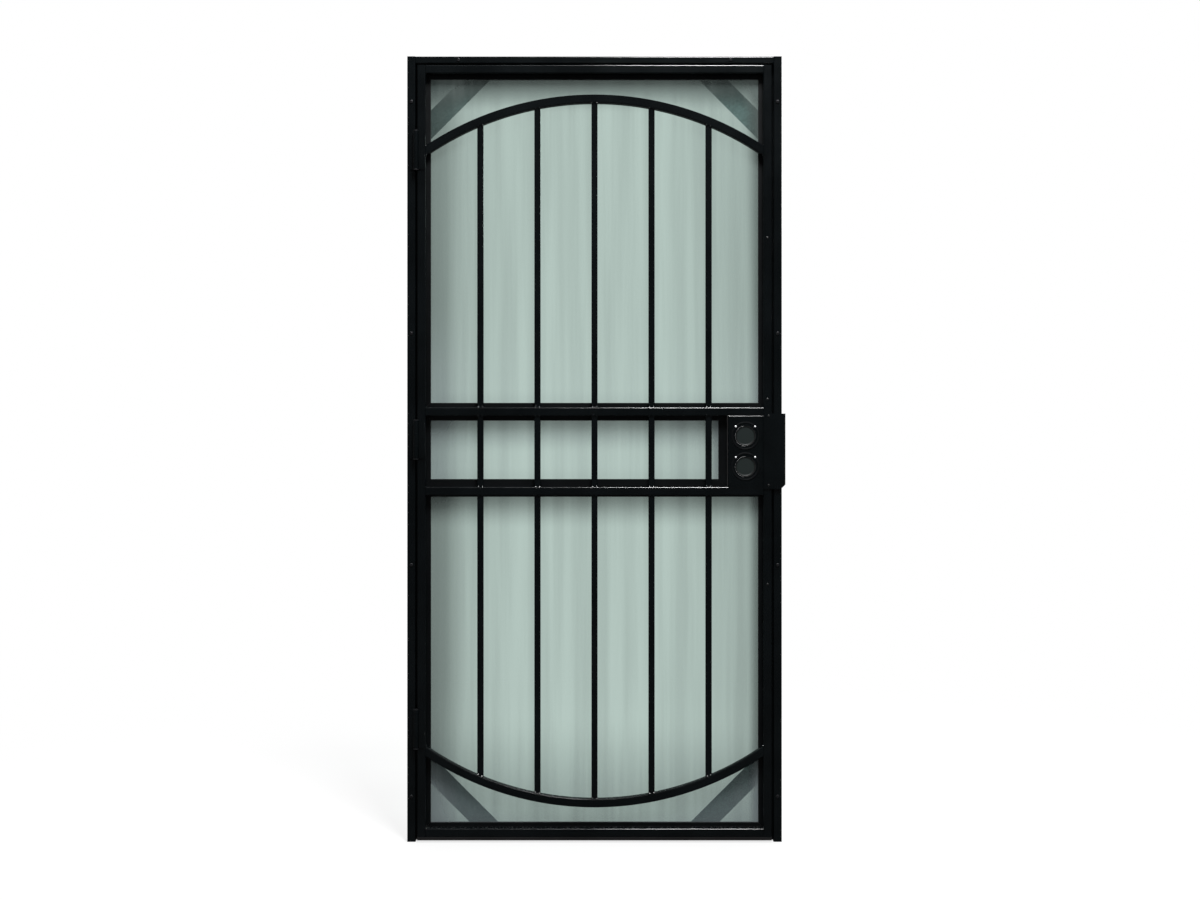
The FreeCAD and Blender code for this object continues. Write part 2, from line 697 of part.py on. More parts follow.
GUARD_WIDTH = "(sizes.tube_face + sizes.leaf_gap + sizes.jamb_face + sizes.guard_overhang)"
GUARD_HEIGHT = f"({LOCK_BOX_HEIGHT} + 2 * sizes.guard_overlap)"
guard = new_body("latch_guard", DAYLIGHT_RIGHT, LEAF_FRONT, f"({LOWER_RAIL_TOP} - sizes.guard_overlap)")
guard_outline = new_sketch(guard, "XZ_Plane")
draw_outline(
    guard_outline,
    (
        ("0", "0"),
        (f"({GUARD_WIDTH} - sizes.guard_chamfer)", "0"),
        (GUARD_WIDTH, "sizes.guard_chamfer"),
        (GUARD_WIDTH, GUARD_HEIGHT),
        ("0", GUARD_HEIGHT),
    ),
)
add_pad(guard, guard_outline, "sizes.guard_thickness")
keep(guard, "latch_guard")

# Three barrel hinges on the face: the jamb half has the end knuckles, the leaf half the middle one


def barrel(low, height):
    return cylinder(HINGE_X, HINGE_Y, low, "sizes.barrel_radius", height)


def pin_hole(low):
    radius = "(sizes.pin_radius + sizes.pin_clearance)"
    return cylinder(HINGE_X, HINGE_Y, low, radius, "sizes.hinge_height")


def jamb_half(label, low):
    """A plate on the jamb, with a web out to each end knuckle."""
    knuckle_height = f"({KNUCKLE} - sizes.knuckle_gap)"
    jamb_edge = "sizes.jamb_face / 2"
    plate = box(
        f"({jamb_edge} - sizes.hinge_plate_width)", f"({JAMB_FRONT} - sizes.hinge_plate)", low,
        "sizes.hinge_plate_width", "sizes.hinge_plate", "sizes.hinge_height",
    )
    pieces = [plate]
    for knuckle_low in (low, f"({low} + 2 * {KNUCKLE} + sizes.knuckle_gap)"):
        web = box(
            f"({jamb_edge} - sizes.hinge_web)", HINGE_Y, knuckle_low,
            "sizes.hinge_web", f"({JAMB_FRONT} - {HINGE_Y})", knuckle_height,
        )
        pieces += [web, barrel(knuckle_low, knuckle_height)]
    return keep(cut(fuse(*pieces), pin_hole(low)), label)


def leaf_half(label, low):
    """A plate on the hinge stile, with a tongue to the middle knuckle."""
    plate_left = f"({HINGE_X} + sizes.hinge_plate_setback)"
    plate_front = f"({LEAF_FRONT} - sizes.hinge_plate)"
    knuckle_low = f"({low} + {KNUCKLE})"
    plate = box(
        plate_left, plate_front, low, "sizes.hinge_plate_width", "sizes.hinge_plate", "sizes.hinge_height",
    )
    tongue = box(HINGE_X, plate_front, knuckle_low, "sizes.hinge_plate_setback", "sizes.hinge_plate", KNUCKLE)
    return keep(cut(fuse(plate, tongue, barrel(knuckle_low, KNUCKLE)), pin_hole(low)), label)


def hinge_pin(label, low):
    """A pin with a head at each end, so that it can't be driven out."""
    head_height = "sizes.pin_head_height"
    shank = cylinder(HINGE_X, HINGE_Y, low, "sizes.pin_radius", "sizes.hinge_height")
    foot = barrel(f"({low} - {head_height})", head_height)
    crown = barrel(f"({low} + sizes.hinge_height)", head_height)
    return keep(fuse(shank, foot, crown), label)


for hinge_name, hinge_height in (("lower", LOWER_HINGE), ("middle", MIDDLE_HINGE), ("upper", UPPER_HINGE)):
    hinge_low = f"({hinge_height} - sizes.hinge_height / 2)"
    jamb_half(f"{hinge_name}_hinge_jamb_half", hinge_low)
    leaf_half(f"{hinge_name}_hinge_leaf_half", hinge_low)
    hinge_pin(f"{hinge_name}_hinge_pin", hinge_low)

# Check every object, then write one file for each sub-part

doc.recompute()
failed = [thing.Label for thing in doc.Objects if "Invalid" in thing.State or "Error" in thing.State]
if failed:
    raise RuntimeError(f"these objects did not build: {failed}")
for subpart in subparts:
    if subpart.Shape.isNull() or not subpart.Shape.isValid() or not subpart.Shape.Solids:
        raise RuntimeError(f"{subpart.Label} has no valid solid")

os.makedirs("parts", exist_ok=True)
for subpart in subparts:
    subpart.Shape.exportStep(f"parts/{subpart.Label}.step")
    bounds = subpart.Shape.BoundBox
    print(
        f"{subpart.Label}: {len(subpart.Shape.Solids)} solids, {subpart.Shape.Volume / 1000:.1f} cm3, "
        f"X {bounds.XMin:.1f} to {bounds.XMax:.1f}, Y {bounds.YMin:.1f} to {bounds.YMax:.1f}, "
        f"Z {bounds.ZMin:.1f} to {bounds.ZMax:.1f}"
    )
print(f"{len(subparts)} sub-parts")
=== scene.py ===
# %% [markdown]
# # Dressing a steel security door
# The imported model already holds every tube, bar, pane and hinge at its real size. This lesson adds what
# an eye sees beyond the solids: the powder coat, the tint of the glass, the welds, the screws and the
# seals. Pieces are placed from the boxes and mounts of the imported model. What those don't give, such as
# the face of the arch tube or the heights of three rivets, is a named value beside the piece that needs
# it.

# %% Load the door as a fixed frame
import json
import math

import bmesh
import bpy
from mathutils import Matrix, Vector


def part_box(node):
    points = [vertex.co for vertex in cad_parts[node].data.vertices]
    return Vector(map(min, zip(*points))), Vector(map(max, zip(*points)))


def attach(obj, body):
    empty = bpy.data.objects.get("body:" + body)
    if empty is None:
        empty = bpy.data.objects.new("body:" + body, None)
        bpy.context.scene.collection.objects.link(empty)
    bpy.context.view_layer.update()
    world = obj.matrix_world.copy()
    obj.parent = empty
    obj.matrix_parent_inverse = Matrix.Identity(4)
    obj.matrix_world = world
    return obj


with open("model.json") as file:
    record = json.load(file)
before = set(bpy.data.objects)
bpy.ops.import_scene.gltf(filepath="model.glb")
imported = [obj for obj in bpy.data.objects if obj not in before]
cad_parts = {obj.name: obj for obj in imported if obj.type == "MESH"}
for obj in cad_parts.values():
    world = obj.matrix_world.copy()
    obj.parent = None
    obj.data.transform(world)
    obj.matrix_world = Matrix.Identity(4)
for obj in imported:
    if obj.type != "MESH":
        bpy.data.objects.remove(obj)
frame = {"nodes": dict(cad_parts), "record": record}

MILLIMETRE = 0.001

nodes = frame["nodes"]
mounts = {mount["name"]: mount for mount in frame["record"]["mounts"]}
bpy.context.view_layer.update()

# %% [markdown]
# ## The camera
# The door was pictured square on and its lines are upright, so the camera looks level along +Y. It stands
# at about the door's middle height, and the framing needs no shift. One scale ties the picture to the
# door: the door's height in metres over its height in pixels. The lens could be found by trial. Here it
# follows from that scale and from the distance, which is far enough for the tubes to show almost no
# sides.

# %% Camera
PICTURE_WIDTH_PX = 1200
PICTURE_HEIGHT_PX = 900
DOOR_MIDDLE_PX = 594.5
DOOR_TOP_PX = 56.3
DOOR_FOOT_PX = 841.8
CAMERA_DISTANCE = 4.3
SENSOR_WIDTH_MM = 36.0
LEVEL = (math.pi / 2, 0, 0)

frame_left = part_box("hinge_jamb")[0].x
frame_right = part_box("strike_jamb")[1].x
frame_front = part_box("hinge_jamb")[0].y
door_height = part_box("hinge_jamb")[1].z
metres_per_pixel = door_height / (DOOR_FOOT_PX - DOOR_TOP_PX)
middle_x = (frame_left + frame_right) / 2
eye = Vector((
    middle_x + (PICTURE_WIDTH_PX / 2 - DOOR_MIDDLE_PX) * metres_per_pixel,
    frame_front - CAMERA_DISTANCE,
    (DOOR_FOOT_PX - PICTURE_HEIGHT_PX / 2) * metres_per_pixel,
))
bpy.ops.object.select_all(action="DESELECT")
bpy.ops.object.camera_add(location=eye, rotation=LEVEL)
camera = bpy.context.object
camera.data.sensor_width = SENSOR_WIDTH_MM
camera.data.lens = SENSOR_WIDTH_MM * CAMERA_DISTANCE / (PICTURE_WIDTH_PX * metres_per_pixel)
bpy.context.scene.camera = camera
print(f"lens {camera.data.lens:.1f} mm at {CAMERA_DISTANCE} m, eye height {eye.z:.3f} m")

# %% [markdown]
# ## Shader maths in plain Python
# Node trees are hard to read as lists of links. One small class wraps a node's output, so that an
# expression such as `0.2 + 0.1 * mottle` adds the Math nodes by itself. A second class fills a tree.
# Every node comes from one method of it, which takes the node's type, its settings and what goes into its
# sockets.

# %% Signal


class Signal:
    """An output of a node. Operators with numbers and other outputs add Math nodes."""

    def __init__(self, finish, socket):
        self.finish = finish
        self.socket = socket

    def math(self, operation, first, second):
        return self.finish.node("ShaderNodeMath", {"operation": operation}, {0: first, 1: second})

    def __add__(self, other):
        return self.math("ADD", self, other)

    def __radd__(self, other):
        return self.math("ADD", other, self)

    def __sub__(self, other):
        return self.math("SUBTRACT", self, other)

    def __rsub__(self, other):
        return self.math("SUBTRACT", other, self)

    def __mul__(self, other):
        return self.math("MULTIPLY", self, other)

    def __rmul__(self, other):
        return self.math("MULTIPLY", other, self)

    def least(self, other):
        return self.math("MINIMUM", self, other)

    def most(self, other):
        return self.math("MAXIMUM", self, other)

    def between(self, low, high):
        """0 below low, 1 above high, and a smooth step from one to the other."""
        return self.finish.node(
            "ShaderNodeMapRange", {"interpolation_type": "SMOOTHSTEP"},
            {"Value": self, "From Min": low, "From Max": high},
        )


print("a signal knows +, -, *, least, most and between")

# %% Finish
MIX_FIRST_COLOUR = 6
MIX_SECOND_COLOUR = 7
MIX_COLOUR_OUT = 2


class Finish:
    """A node tree that is being filled, of a material or of the world."""

    def __init__(self, tree):
        self.tree = tree
        tree.nodes.clear()

    def node(self, kind, settings=None, inputs=None, output=0):
        """Adds a node and gives back one of its outputs."""
        node = self.tree.nodes.new(kind)
        for name, value in (settings or {}).items():
            setattr(node, name, value)
        for name, value in (inputs or {}).items():
            if isinstance(value, Signal):
                self.tree.links.new(value.socket, node.inputs[name])
            else:
                node.inputs[name].default_value = value
        return Signal(self, node.outputs[output])

    def place(self):
        return self.node("ShaderNodeTexCoord", output="Object")

    def ray(self, kind):
        """1 for rays of one kind, such as "Camera" or "Glossy", and 0 for the rest."""
        return self.node("ShaderNodeLightPath", output=f"Is {kind} Ray")

    def axis(self, vector, letter):
        return self.node("ShaderNodeSeparateXYZ", {}, {"Vector": vector}, output=letter)

    def noise(self, place, scale, detail, stretch=None):
        """Cloudy noise with about `scale` cells a metre, on a place that three factors may stretch."""
        if stretch:
            place = self.node("ShaderNodeMapping", {}, {"Vector": place, "Scale": stretch})
        return self.node("ShaderNodeTexNoise", {}, {"Vector": place, "Scale": scale, "Detail": detail})

    def blend(self, share, first, second):
        """The first colour where share is 0, and the second where it is 1."""
        return self.node(
            "ShaderNodeMix", {"data_type": "RGBA"},
            {"Factor": share, MIX_FIRST_COLOUR: first, MIX_SECOND_COLOUR: second}, output=MIX_COLOUR_OUT,
        )

    def bump(self, height, strength, distance):
        return self.node(
            "ShaderNodeBump", {}, {"Height": height, "Strength": strength, "Distance": distance},
        )

    def principled(self, inputs):
        return self.node("ShaderNodeBsdfPrincipled", {}, inputs)

    def show(self, surface, kind="ShaderNodeOutputMaterial"):
        self.tree.links.new(surface.socket, self.tree.nodes.new(kind).inputs["Surface"])


def new_material(name):
    material = bpy.data.materials.new(name)
    material.use_nodes = True
    return material, Finish(material.node_tree)


def colour(red, green, blue):
    return (red, green, blue, 1.0)


WHITE = colour(1, 1, 1)
print("a finish fills the node tree of a material or of the world")

# %% [markdown]
# ## The studio
# The door stands on a plain pale floor before a white background. A backdrop could be built and lit, but
# its light would wash over the door. Light Path makes the world white only for rays that come straight
# from the camera or through glass. Gloss black shows whatever room it faces, so gloss sees a dark world,
# as a black cloth would make it, a little paler on the side of the backdrop. The rest of its light is
# even.

# %% World
WORLD_LIGHT = 0.9
DARK_ROOM = 0.03
MIRRORED_BACKDROP = 0.15
BACKDROP_EDGE = (0.35, 0.75)


def sees_background(finish):
    """1 for rays that end in the picture as background: straight from the camera, or through glass."""
    return finish.ray("Camera").most(finish.ray("Transmission"))


world = bpy.data.worlds.new("white studio")
world.use_nodes = True
bpy.context.scene.world = world
studio = Finish(world.node_tree)
gloss_ray = studio.ray("Glossy")
direction = studio.node("ShaderNodeTexCoord", output="Generated")
towards_backdrop = studio.axis(direction, "Y").between(*BACKDROP_EDGE)
mirrored_room = DARK_ROOM + (MIRRORED_BACKDROP - DARK_ROOM) * towards_backdrop
room_level = gloss_ray * mirrored_room + (1 - gloss_ray) * WORLD_LIGHT
seen = sees_background(studio)
background_level = seen + (1 - seen) * room_level
studio.show(
    studio.node("ShaderNodeBackground", {}, {"Color": WHITE, "Strength": background_level}),
    kind="ShaderNodeOutputWorld",
)
print(f"world: white to the camera, {WORLD_LIGHT} to the door and {DARK_ROOM} to gloss")

# %% [markdown]
# The floor keeps the door's shadow. A white sheet would lose it, so near the door the floor is grey paint
# with a glow added, and further off it fades into the white of the background. It gives a steady bounce
# to soft light, and to gloss it is nearly black.

# %% Floor
FLOOR_SIZE = 14.0
FLOOR_DROP = 0.5 * MILLIMETRE
NEAR_GLOW = 0.72
NEAR_THE_DOOR = 0.6
FAR_FROM_IT = 3.0
MIRRORED_FLOOR = 0.04
FLOOR_BOUNCE = 0.5
FLOOR_PAINT = colour(0.2, 0.2, 0.2)
UNSEEN = colour(0, 0, 0)

bpy.ops.object.select_all(action="DESELECT")
bpy.ops.mesh.primitive_plane_add(size=FLOOR_SIZE, location=(middle_x, 0, -FLOOR_DROP))
floor = bpy.context.object
floor.name = "floor"
floor_material, floor_finish = new_material("pale_floor")
floor_seen = sees_background(floor_finish)
floor_gloss = floor_finish.ray("Glossy")
floor_soft = floor_finish.ray("Diffuse")
distance = floor_finish.node(
    "ShaderNodeVectorMath", {"operation": "LENGTH"}, {0: floor_finish.place()}, output="Value",
)
painted = floor_finish.node(
    "ShaderNodeBsdfDiffuse", {}, {"Color": floor_finish.blend(floor_gloss, FLOOR_PAINT, UNSEEN)},
)
level = (floor_seen * NEAR_GLOW).most(floor_gloss * MIRRORED_FLOOR).most(floor_soft * FLOOR_BOUNCE)
glow = floor_finish.node("ShaderNodeEmission", {}, {"Color": WHITE, "Strength": level})
near_floor = floor_finish.node("ShaderNodeAddShader", {}, {0: painted, 1: glow})
far_floor = floor_finish.node("ShaderNodeEmission", {}, {"Color": WHITE})
fades_out = floor_seen * distance.between(NEAR_THE_DOOR, FAR_FROM_IT)
floor_finish.show(
    floor_finish.node("ShaderNodeMixShader", {}, {0: fades_out, 1: near_floor, 2: far_floor}),
)
floor.data.materials.append(floor_material)
print(f"floor {FLOOR_SIZE} m square")

# %% [markdown]
# Two lamps do the rest. The key hangs high in front, over the lock side, and draws the thin light lines
# along the rounded edges of the rails. The other one lights the back. A sun would be simpler, but an area
# lamp has a size, so its shadows and its highlights have soft edges.

# %% Lamps
LAMPS = {
    "key_over_the_lock_side": {"place": (1.02, -2.2, 4.6), "width": 0.75, "depth": 1.2, "watts": 220},
    "soft_light_behind": {"place": (1.6, 3.2, 2.8), "width": 1.6, "depth": 1.6, "watts": 60},
}
LOOK_AT = Vector((middle_x, frame_front, door_height / 2))


def soft_lamp(name, place, width, depth, watts):
    """A rectangular lamp that faces the middle of the door."""
    bpy.ops.object.light_add(type="AREA", location=place)
    lamp = bpy.context.object
    lamp.name = name
    lamp.data.shape = "RECTANGLE"
    lamp.data.size = width
    lamp.data.size_y = depth
    lamp.data.energy = watts
    lamp.rotation_euler = (LOOK_AT - Vector(place)).to_track_quat("-Z", "Y").to_euler()
    lamp.visible_camera = False
    print(f"{name}: {watts} W, {width} by {depth} m")


for lamp_name, lamp_settings in LAMPS.items():
    soft_lamp(lamp_name, **lamp_settings)

# %% [markdown]
# ## The powder coat
# The frame, the leaf and its bars wear one black coat, baked on as powder. It is never quite even: it has
# the skin of an orange, with dimples about 2 mm apart, its gloss drifts over a hand's breadth, and a
# little dust lies on faces that look up. The skin could be modelled, but bump from a noise costs no
# faces, and Object coordinates keep it the same size on a hinge and on a jamb. Welds, channels and rings
# wear it glossier or duller, and the rivets wear it paler, as a painted sheen. Moulded caps and vinyl have
# a grain of the same kind, so one function makes them all.

# %% Coats
DUST = colour(0.16, 0.16, 0.155)
DUST_SHARE = 0.06
DUST_DULLS = 0.12
DUST_SPECKS_A_METRE = 160.0
SPECK_EDGE = (0.42, 0.7)
FACES_UP = (0.75, 1.0)
DRIFTS_A_METRE = 11.0
DRIFT_EDGE = (0.35, 0.65)
DRIFT_DARKENS = 0.7
DRIFT_DULLS = 0.12
DIMPLE_STRENGTH = 0.25


def coat(name, tone, roughness, shine, dimples_a_metre, dimple_depth):
    """A coat or a moulded skin, with dimples, cloudy gloss and dust on upward faces."""
    material, finish = new_material(name)
    place = finish.place()
    drift = finish.noise(place, DRIFTS_A_METRE, detail=3.0)
    dimples = finish.noise(place, dimples_a_metre, detail=1.0)
    specks = finish.noise(place, DUST_SPECKS_A_METRE, detail=4.0)
    upward = finish.axis(finish.node("ShaderNodeNewGeometry", output="Normal"), "Z")
    dust = upward.between(*FACES_UP) * specks.between(*SPECK_EDGE)
    darker = colour(*(DRIFT_DARKENS * part for part in tone[:3]))
    base = finish.blend(drift.between(*DRIFT_EDGE), darker, tone)
    finish.show(finish.principled({
        "Base Color": finish.blend(dust * DUST_SHARE, base, DUST),
        "Roughness": roughness + DRIFT_DULLS * (drift - 0.5) + DUST_DULLS * dust,
        "Specular IOR Level": shine,
        "Normal": finish.bump(dimples, DIMPLE_STRENGTH, dimple_depth),
    }))
    return material


powder_coat = coat(
    "powder_coat", colour(0.0014, 0.0026, 0.0032),
    roughness=0.19, shine=0.6, dimples_a_metre=480.0, dimple_depth=0.012 * MILLIMETRE,
)
weld_coat = coat(
    "weld_coat", colour(0.0016, 0.0028, 0.0034),
    roughness=0.12, shine=1.0, dimples_a_metre=900.0, dimple_depth=0.03 * MILLIMETRE,
)
channel_coat = coat(
    "channel_coat", colour(0.0014, 0.0024, 0.0030),
    roughness=0.34, shine=0.4, dimples_a_metre=900.0, dimple_depth=0.08 * MILLIMETRE,
)
ring_coat = coat(
    "ring_coat", colour(0.0014, 0.0024, 0.0030),
    roughness=0.68, shine=0.1, dimples_a_metre=900.0, dimple_depth=0.05 * MILLIMETRE,
)
# Painted sheen: the rivets' coat is paler than the tube, for the glint of their domes.
rivet_coat_with_painted_sheen = coat(
    "rivet_coat_with_painted_sheen", colour(0.0095, 0.0105, 0.011),
    roughness=0.3, shine=0.6, dimples_a_metre=900.0, dimple_depth=0.03 * MILLIMETRE,
)
cap_plastic = coat(
    "cap_plastic", colour(0.010, 0.010, 0.010),
    roughness=0.55, shine=0.4, dimples_a_metre=1400.0, dimple_depth=0.2 * MILLIMETRE,
)
vinyl = coat(
    "vinyl", colour(0.006, 0.006, 0.0065),
    roughness=0.62, shine=0.4, dimples_a_metre=2200.0, dimple_depth=0.15 * MILLIMETRE,
)
print("coats: powder, weld, channel, ring, rivet, cap, vinyl")

# %% [markdown]
# ## Bare metals
# The corner straps are zinc plated: a dull blue grey with crystals of a few millimetres and fine lines
# from the rolling mill. Pins and screws are steel that was blackened or plated, with faint turning marks.
# The studs are bright nickel, and their near-white colour is a painted glint. A Voronoi texture gives flat
# cells with edges, as crystals have, and a noise that is stretched along one way gives the lines.

# %% Metals
CRYSTALS_A_METRE = 240.0
LINES_A_METRE = 60.0
STAINS_A_METRE = 14.0
CRYSTAL_SHARE = 0.45
LINE_SHARE = 0.35
STAIN_SHARE = 0.4
PALE_EDGE = (0.35, 0.85)
LINES_DULL = 0.2
STAINS_DULL = 0.1
LINE_STRENGTH = 0.2
LINE_DEPTH = 0.1 * MILLIMETRE


def rolled_metal(name, pale, dull, roughness, metallic, lines):
    """Plated sheet or bar: crystals in two tones, and fine lines along three stretch factors."""
    material, finish = new_material(name)
    place = finish.place()
    crystals = finish.node(
        "ShaderNodeTexVoronoi", {"feature": "F1"},
        {"Vector": place, "Scale": CRYSTALS_A_METRE}, output="Color",
    )
    crystal = finish.node("ShaderNodeSeparateColor", {}, {"Color": crystals}, output="Red")
    line = finish.noise(place, LINES_A_METRE, detail=4.0, stretch=lines)
    stain = finish.noise(place, STAINS_A_METRE, detail=3.0)
    mottle = CRYSTAL_SHARE * crystal + LINE_SHARE * line + STAIN_SHARE * stain
    finish.show(finish.principled({
        "Base Color": finish.blend(mottle.between(*PALE_EDGE), dull, pale),
        "Metallic": metallic,
        "Roughness": roughness + LINES_DULL * (line - 0.5) + STAINS_DULL * stain,
        "Normal": finish.bump(line, LINE_STRENGTH, LINE_DEPTH),
    }))
    return material


zinc = rolled_metal(
    "zinc_strap", pale=colour(0.47, 0.495, 0.55), dull=colour(0.33, 0.35, 0.395),
    roughness=0.45, metallic=0.0, lines=(8.0, 8.0, 1.0),
)
black_steel = rolled_metal(
    "blackened_steel", pale=colour(0.022, 0.023, 0.026), dull=colour(0.010, 0.010, 0.012),
    roughness=0.42, metallic=0.6, lines=(1.0, 1.0, 14.0),
)
screw_zinc = rolled_metal(
    "plated_screw", pale=colour(0.42, 0.43, 0.44), dull=colour(0.22, 0.23, 0.24),
    roughness=0.32, metallic=0.9, lines=(6.0, 1.0, 6.0),
)
# Painted glint: the studs are near white and little metallic, so that they shine under any lamp.
glint_white_nickel = rolled_metal(
    "glint_white_nickel", pale=colour(0.86, 0.87, 0.88), dull=colour(0.70, 0.71, 0.73),
    roughness=0.25, metallic=0.2, lines=(6.0, 1.0, 6.0),
)
print("metals: zinc, blackened steel, plated screws, nickel")

# %% [markdown]
# ## The glass
# The inserts hold 4 mm glass with a grey green tint, deepened to stand for the shade behind the panes,
# so part of the tint is painted shade. A Glass shader would bend the view, which a flat pane hardly does. A
# Transparent shader lets light and sight straight through, and its colour is the tint of one face, so
# light that crosses both faces takes it twice. A thin film of haze is mixed in. It lies in faint upright
# bands, as wiping leaves it, which are partly a painted reflection. Towards the sides and the rim, along
# both stiles and at the head of each pane, the film is painted shade, thickest where shade falls. At the
# foot of the lowest pane a paler film is painted light and shade: it greys the glass and lifts the straps
# behind it.

# %% Tinted glass
INSERTS = ("upper", "middle", "lower")
# Painted shade: the tint is deeper than clear glass, for the shade behind the panes.
FACE_TINT_AND_SHADE = colour(0.695, 0.773, 0.743)
# The film's dark tone carries the painted shade of the shares below.
DUST_AND_SHADE_FILM = (colour(0.05, 0.065, 0.062), colour(0.085, 0.105, 0.10))
# Painted light and shade: a paler film at the foot of the lowest pane greys the glass and lifts the straps.
PAINTED_FOOT_TONE = colour(0.14, 0.165, 0.175)
FILM_ROUGHNESS = 0.06
BANDS_DULL = 0.08
FILM_SHINE = 0.5
BAND_STRETCH = (26.0, 1.0, 0.9)
BAND_EDGE = (0.3, 0.7)
HAZE_BASE = 0.03
# The upright bands are haze and partly a painted reflection of streaks.
HAZE_AND_REFLECTION_BANDS = 0.09
# Painted shade: the film grows towards the sides, the rim, both stiles and the head of each pane.
SHADE_TOWARDS_SIDES = 0.13
SHADE_AT_RIM = 0.06
SHADE_BY_HINGES = 0.22
SHADE_BY_LOCK = 0.38
SHADE_UNDER_HEAD = {"upper": 0.62, "middle": 0.4, "lower": 0.36}
# Painted light and shade at the foot of the lowest pane.
PAINTED_FOOT_SHARE = {"upper": 0.0, "middle": 0.0, "lower": 0.24}
SIDE_REACH = 0.28
RIM_REACH = 0.05
HINGE_BAND = (0.04, 0.095)
LOCK_BAND = (0.0, 0.042)
HEAD_REACH = 0.1
FOOT_REACH = 0.3


def shade_tinted_glass(name):
    """The glass of one insert, with a film of haze and painted shade that follows the edges of its pane."""
    low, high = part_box(f"{name}_glass")
    material, finish = new_material(f"{name}_shade_tinted_glass")
    place = finish.place()
    x = finish.axis(place, "X")
    z = finish.axis(place, "Z")
    from_side = (x - low.x).least(high.x - x)
    from_end = (z - low.z).least(high.z - z)
    bands = finish.noise(place, 1.0, detail=4.0, stretch=BAND_STRETCH).between(*BAND_EDGE)
    sides = 1 - from_side.between(0.0, SIDE_REACH)
    rim = 1 - from_side.least(from_end).between(0.0, RIM_REACH)
    by_hinges = 1 - (x - low.x).between(*HINGE_BAND)
    by_lock = 1 - (high.x - x).between(*LOCK_BAND)
    head = 1 - (high.z - z).between(0.0, HEAD_REACH)
    foot = 1 - (z - low.z).between(0.0, FOOT_REACH)
    # Painted shade: the sides, rim, stiles and head darken the glass where shade falls; the foot share is
    # painted light and shade.
    film_with_edge_shade = HAZE_BASE + HAZE_AND_REFLECTION_BANDS * bands + SHADE_TOWARDS_SIDES * sides + SHADE_AT_RIM * rim
    shade_along_stiles = SHADE_BY_HINGES * by_hinges + SHADE_BY_LOCK * by_lock
    haze_and_shade = film_with_edge_shade + shade_along_stiles + SHADE_UNDER_HEAD[name] * head + PAINTED_FOOT_SHARE[name] * foot
    film_with_shade = finish.principled({
        "Base Color": finish.blend(foot, finish.blend(bands, *DUST_AND_SHADE_FILM), PAINTED_FOOT_TONE),
        "Roughness": FILM_ROUGHNESS + BANDS_DULL * bands,
        "Specular IOR Level": FILM_SHINE,
    })
    clear = finish.node("ShaderNodeBsdfTransparent", {}, {"Color": FACE_TINT_AND_SHADE})
    finish.show(finish.node("ShaderNodeMixShader", {}, {0: haze_and_shade, 1: clear, 2: film_with_shade}))
    return material


glass_of = {name: shade_tinted_glass(name) for name in INSERTS}
print("glass:", ", ".join(material.name for material in glass_of.values()))

# %% [markdown]
# ## A finish for every imported node
# Finishes could be assigned name by name. The record already gives each node a material slot, so one
# table turns slots into finishes. Only the panes and the rings need a rule of their own: the film of haze
# and painted shade follows each pane's edges, and the rings round the bores are duller than the rest.

# %% Finishes of the nodes
FINISH_OF_SLOT = {
    "powder_coat": powder_coat,
    "insert_channel": channel_coat,
    "zinc_strap": zinc,
    "tube_cap": cap_plastic,
    "sweep_vinyl": vinyl,
    "hinge_pin": black_steel,
}
slot_of = {part["node"]: part["material_slot"] for part in frame["record"]["subparts"]}
for node_name, node in nodes.items():
    if slot_of[node_name] == "glass":
        node_finish = glass_of[node_name.removesuffix("_glass")]
    elif node_name.endswith("_bore_ring"):
        node_finish = ring_coat
    else:
        node_finish = FINISH_OF_SLOT[slot_of[node_name]]
    for material_slot in node.material_slots:
        material_slot.material = node_finish
print(f"{len(nodes)} nodes have a finish")

# %% [markdown]
# ## Helpers at the bench
# Operators act on whatever is selected, so each model starts with nothing selected. A shape that repeats
# is modelled once at the origin. Copies then get a mesh of their own with their place in it, and are
# joined into one piece that rides on the frame or on the leaf.

# %% Bench helpers
SMOOTH_ANGLE = math.radians(35)
FACING_OUT = Matrix.Rotation(math.pi / 2, 4, "X")
FACING_IN = Matrix.Rotation(-math.pi / 2, 4, "X")


def start_clean():
    bpy.ops.object.select_all(action="DESELECT")


def edit(model):
    """Opens a model in edit mode with nothing selected."""
    bpy.context.view_layer.objects.active = model
    bpy.ops.object.mode_set(mode="EDIT")
    bpy.ops.mesh.select_all(action="DESELECT")


def edit_all(model):
    """Opens a model in edit mode with all of it selected."""
    edit(model)
    bpy.ops.mesh.select_all(action="SELECT")


def leave_edit():
    bpy.ops.object.mode_set(mode="OBJECT")


def face_outwards():
    """In edit mode, turns every face of a closed model outwards."""
    bpy.ops.mesh.select_all(action="SELECT")
    bpy.ops.mesh.normals_make_consistent(inside=False)


def stretch(x, y, z, centre=(0, 0, 0)):
    """In edit mode, scales what is selected about a centre."""
    bpy.ops.transform.resize(value=(x, y, z), center_override=centre)


def extrude(x, y, z):
    """In edit mode, extrudes what is selected and moves it."""
    bpy.ops.mesh.extrude_region_move(TRANSFORM_OT_translate={"value": (x, y, z)})


def apply_modifier(model, kind, **settings):
    bpy.context.view_layer.objects.active = model
    modifier = model.modifiers.new(kind.lower(), kind)
    for name, value in settings.items():
        setattr(modifier, name, value)
    bpy.ops.object.modifier_apply(modifier=modifier.name)


def make_uneven(model, height, size):
    """Pushes a surface in and out by cloudy lumps of a height and a size."""
    lumps = bpy.data.textures.new(f"lumps of {size / MILLIMETRE:.0f} mm", "CLOUDS")
    lumps.noise_scale = size
    apply_modifier(model, "DISPLACE", texture=lumps, strength=height, mid_level=0.5)


print(f"edges up to {math.degrees(SMOOTH_ANGLE):.0f} degrees will be shaded smooth")

# %% Laying out and handing over


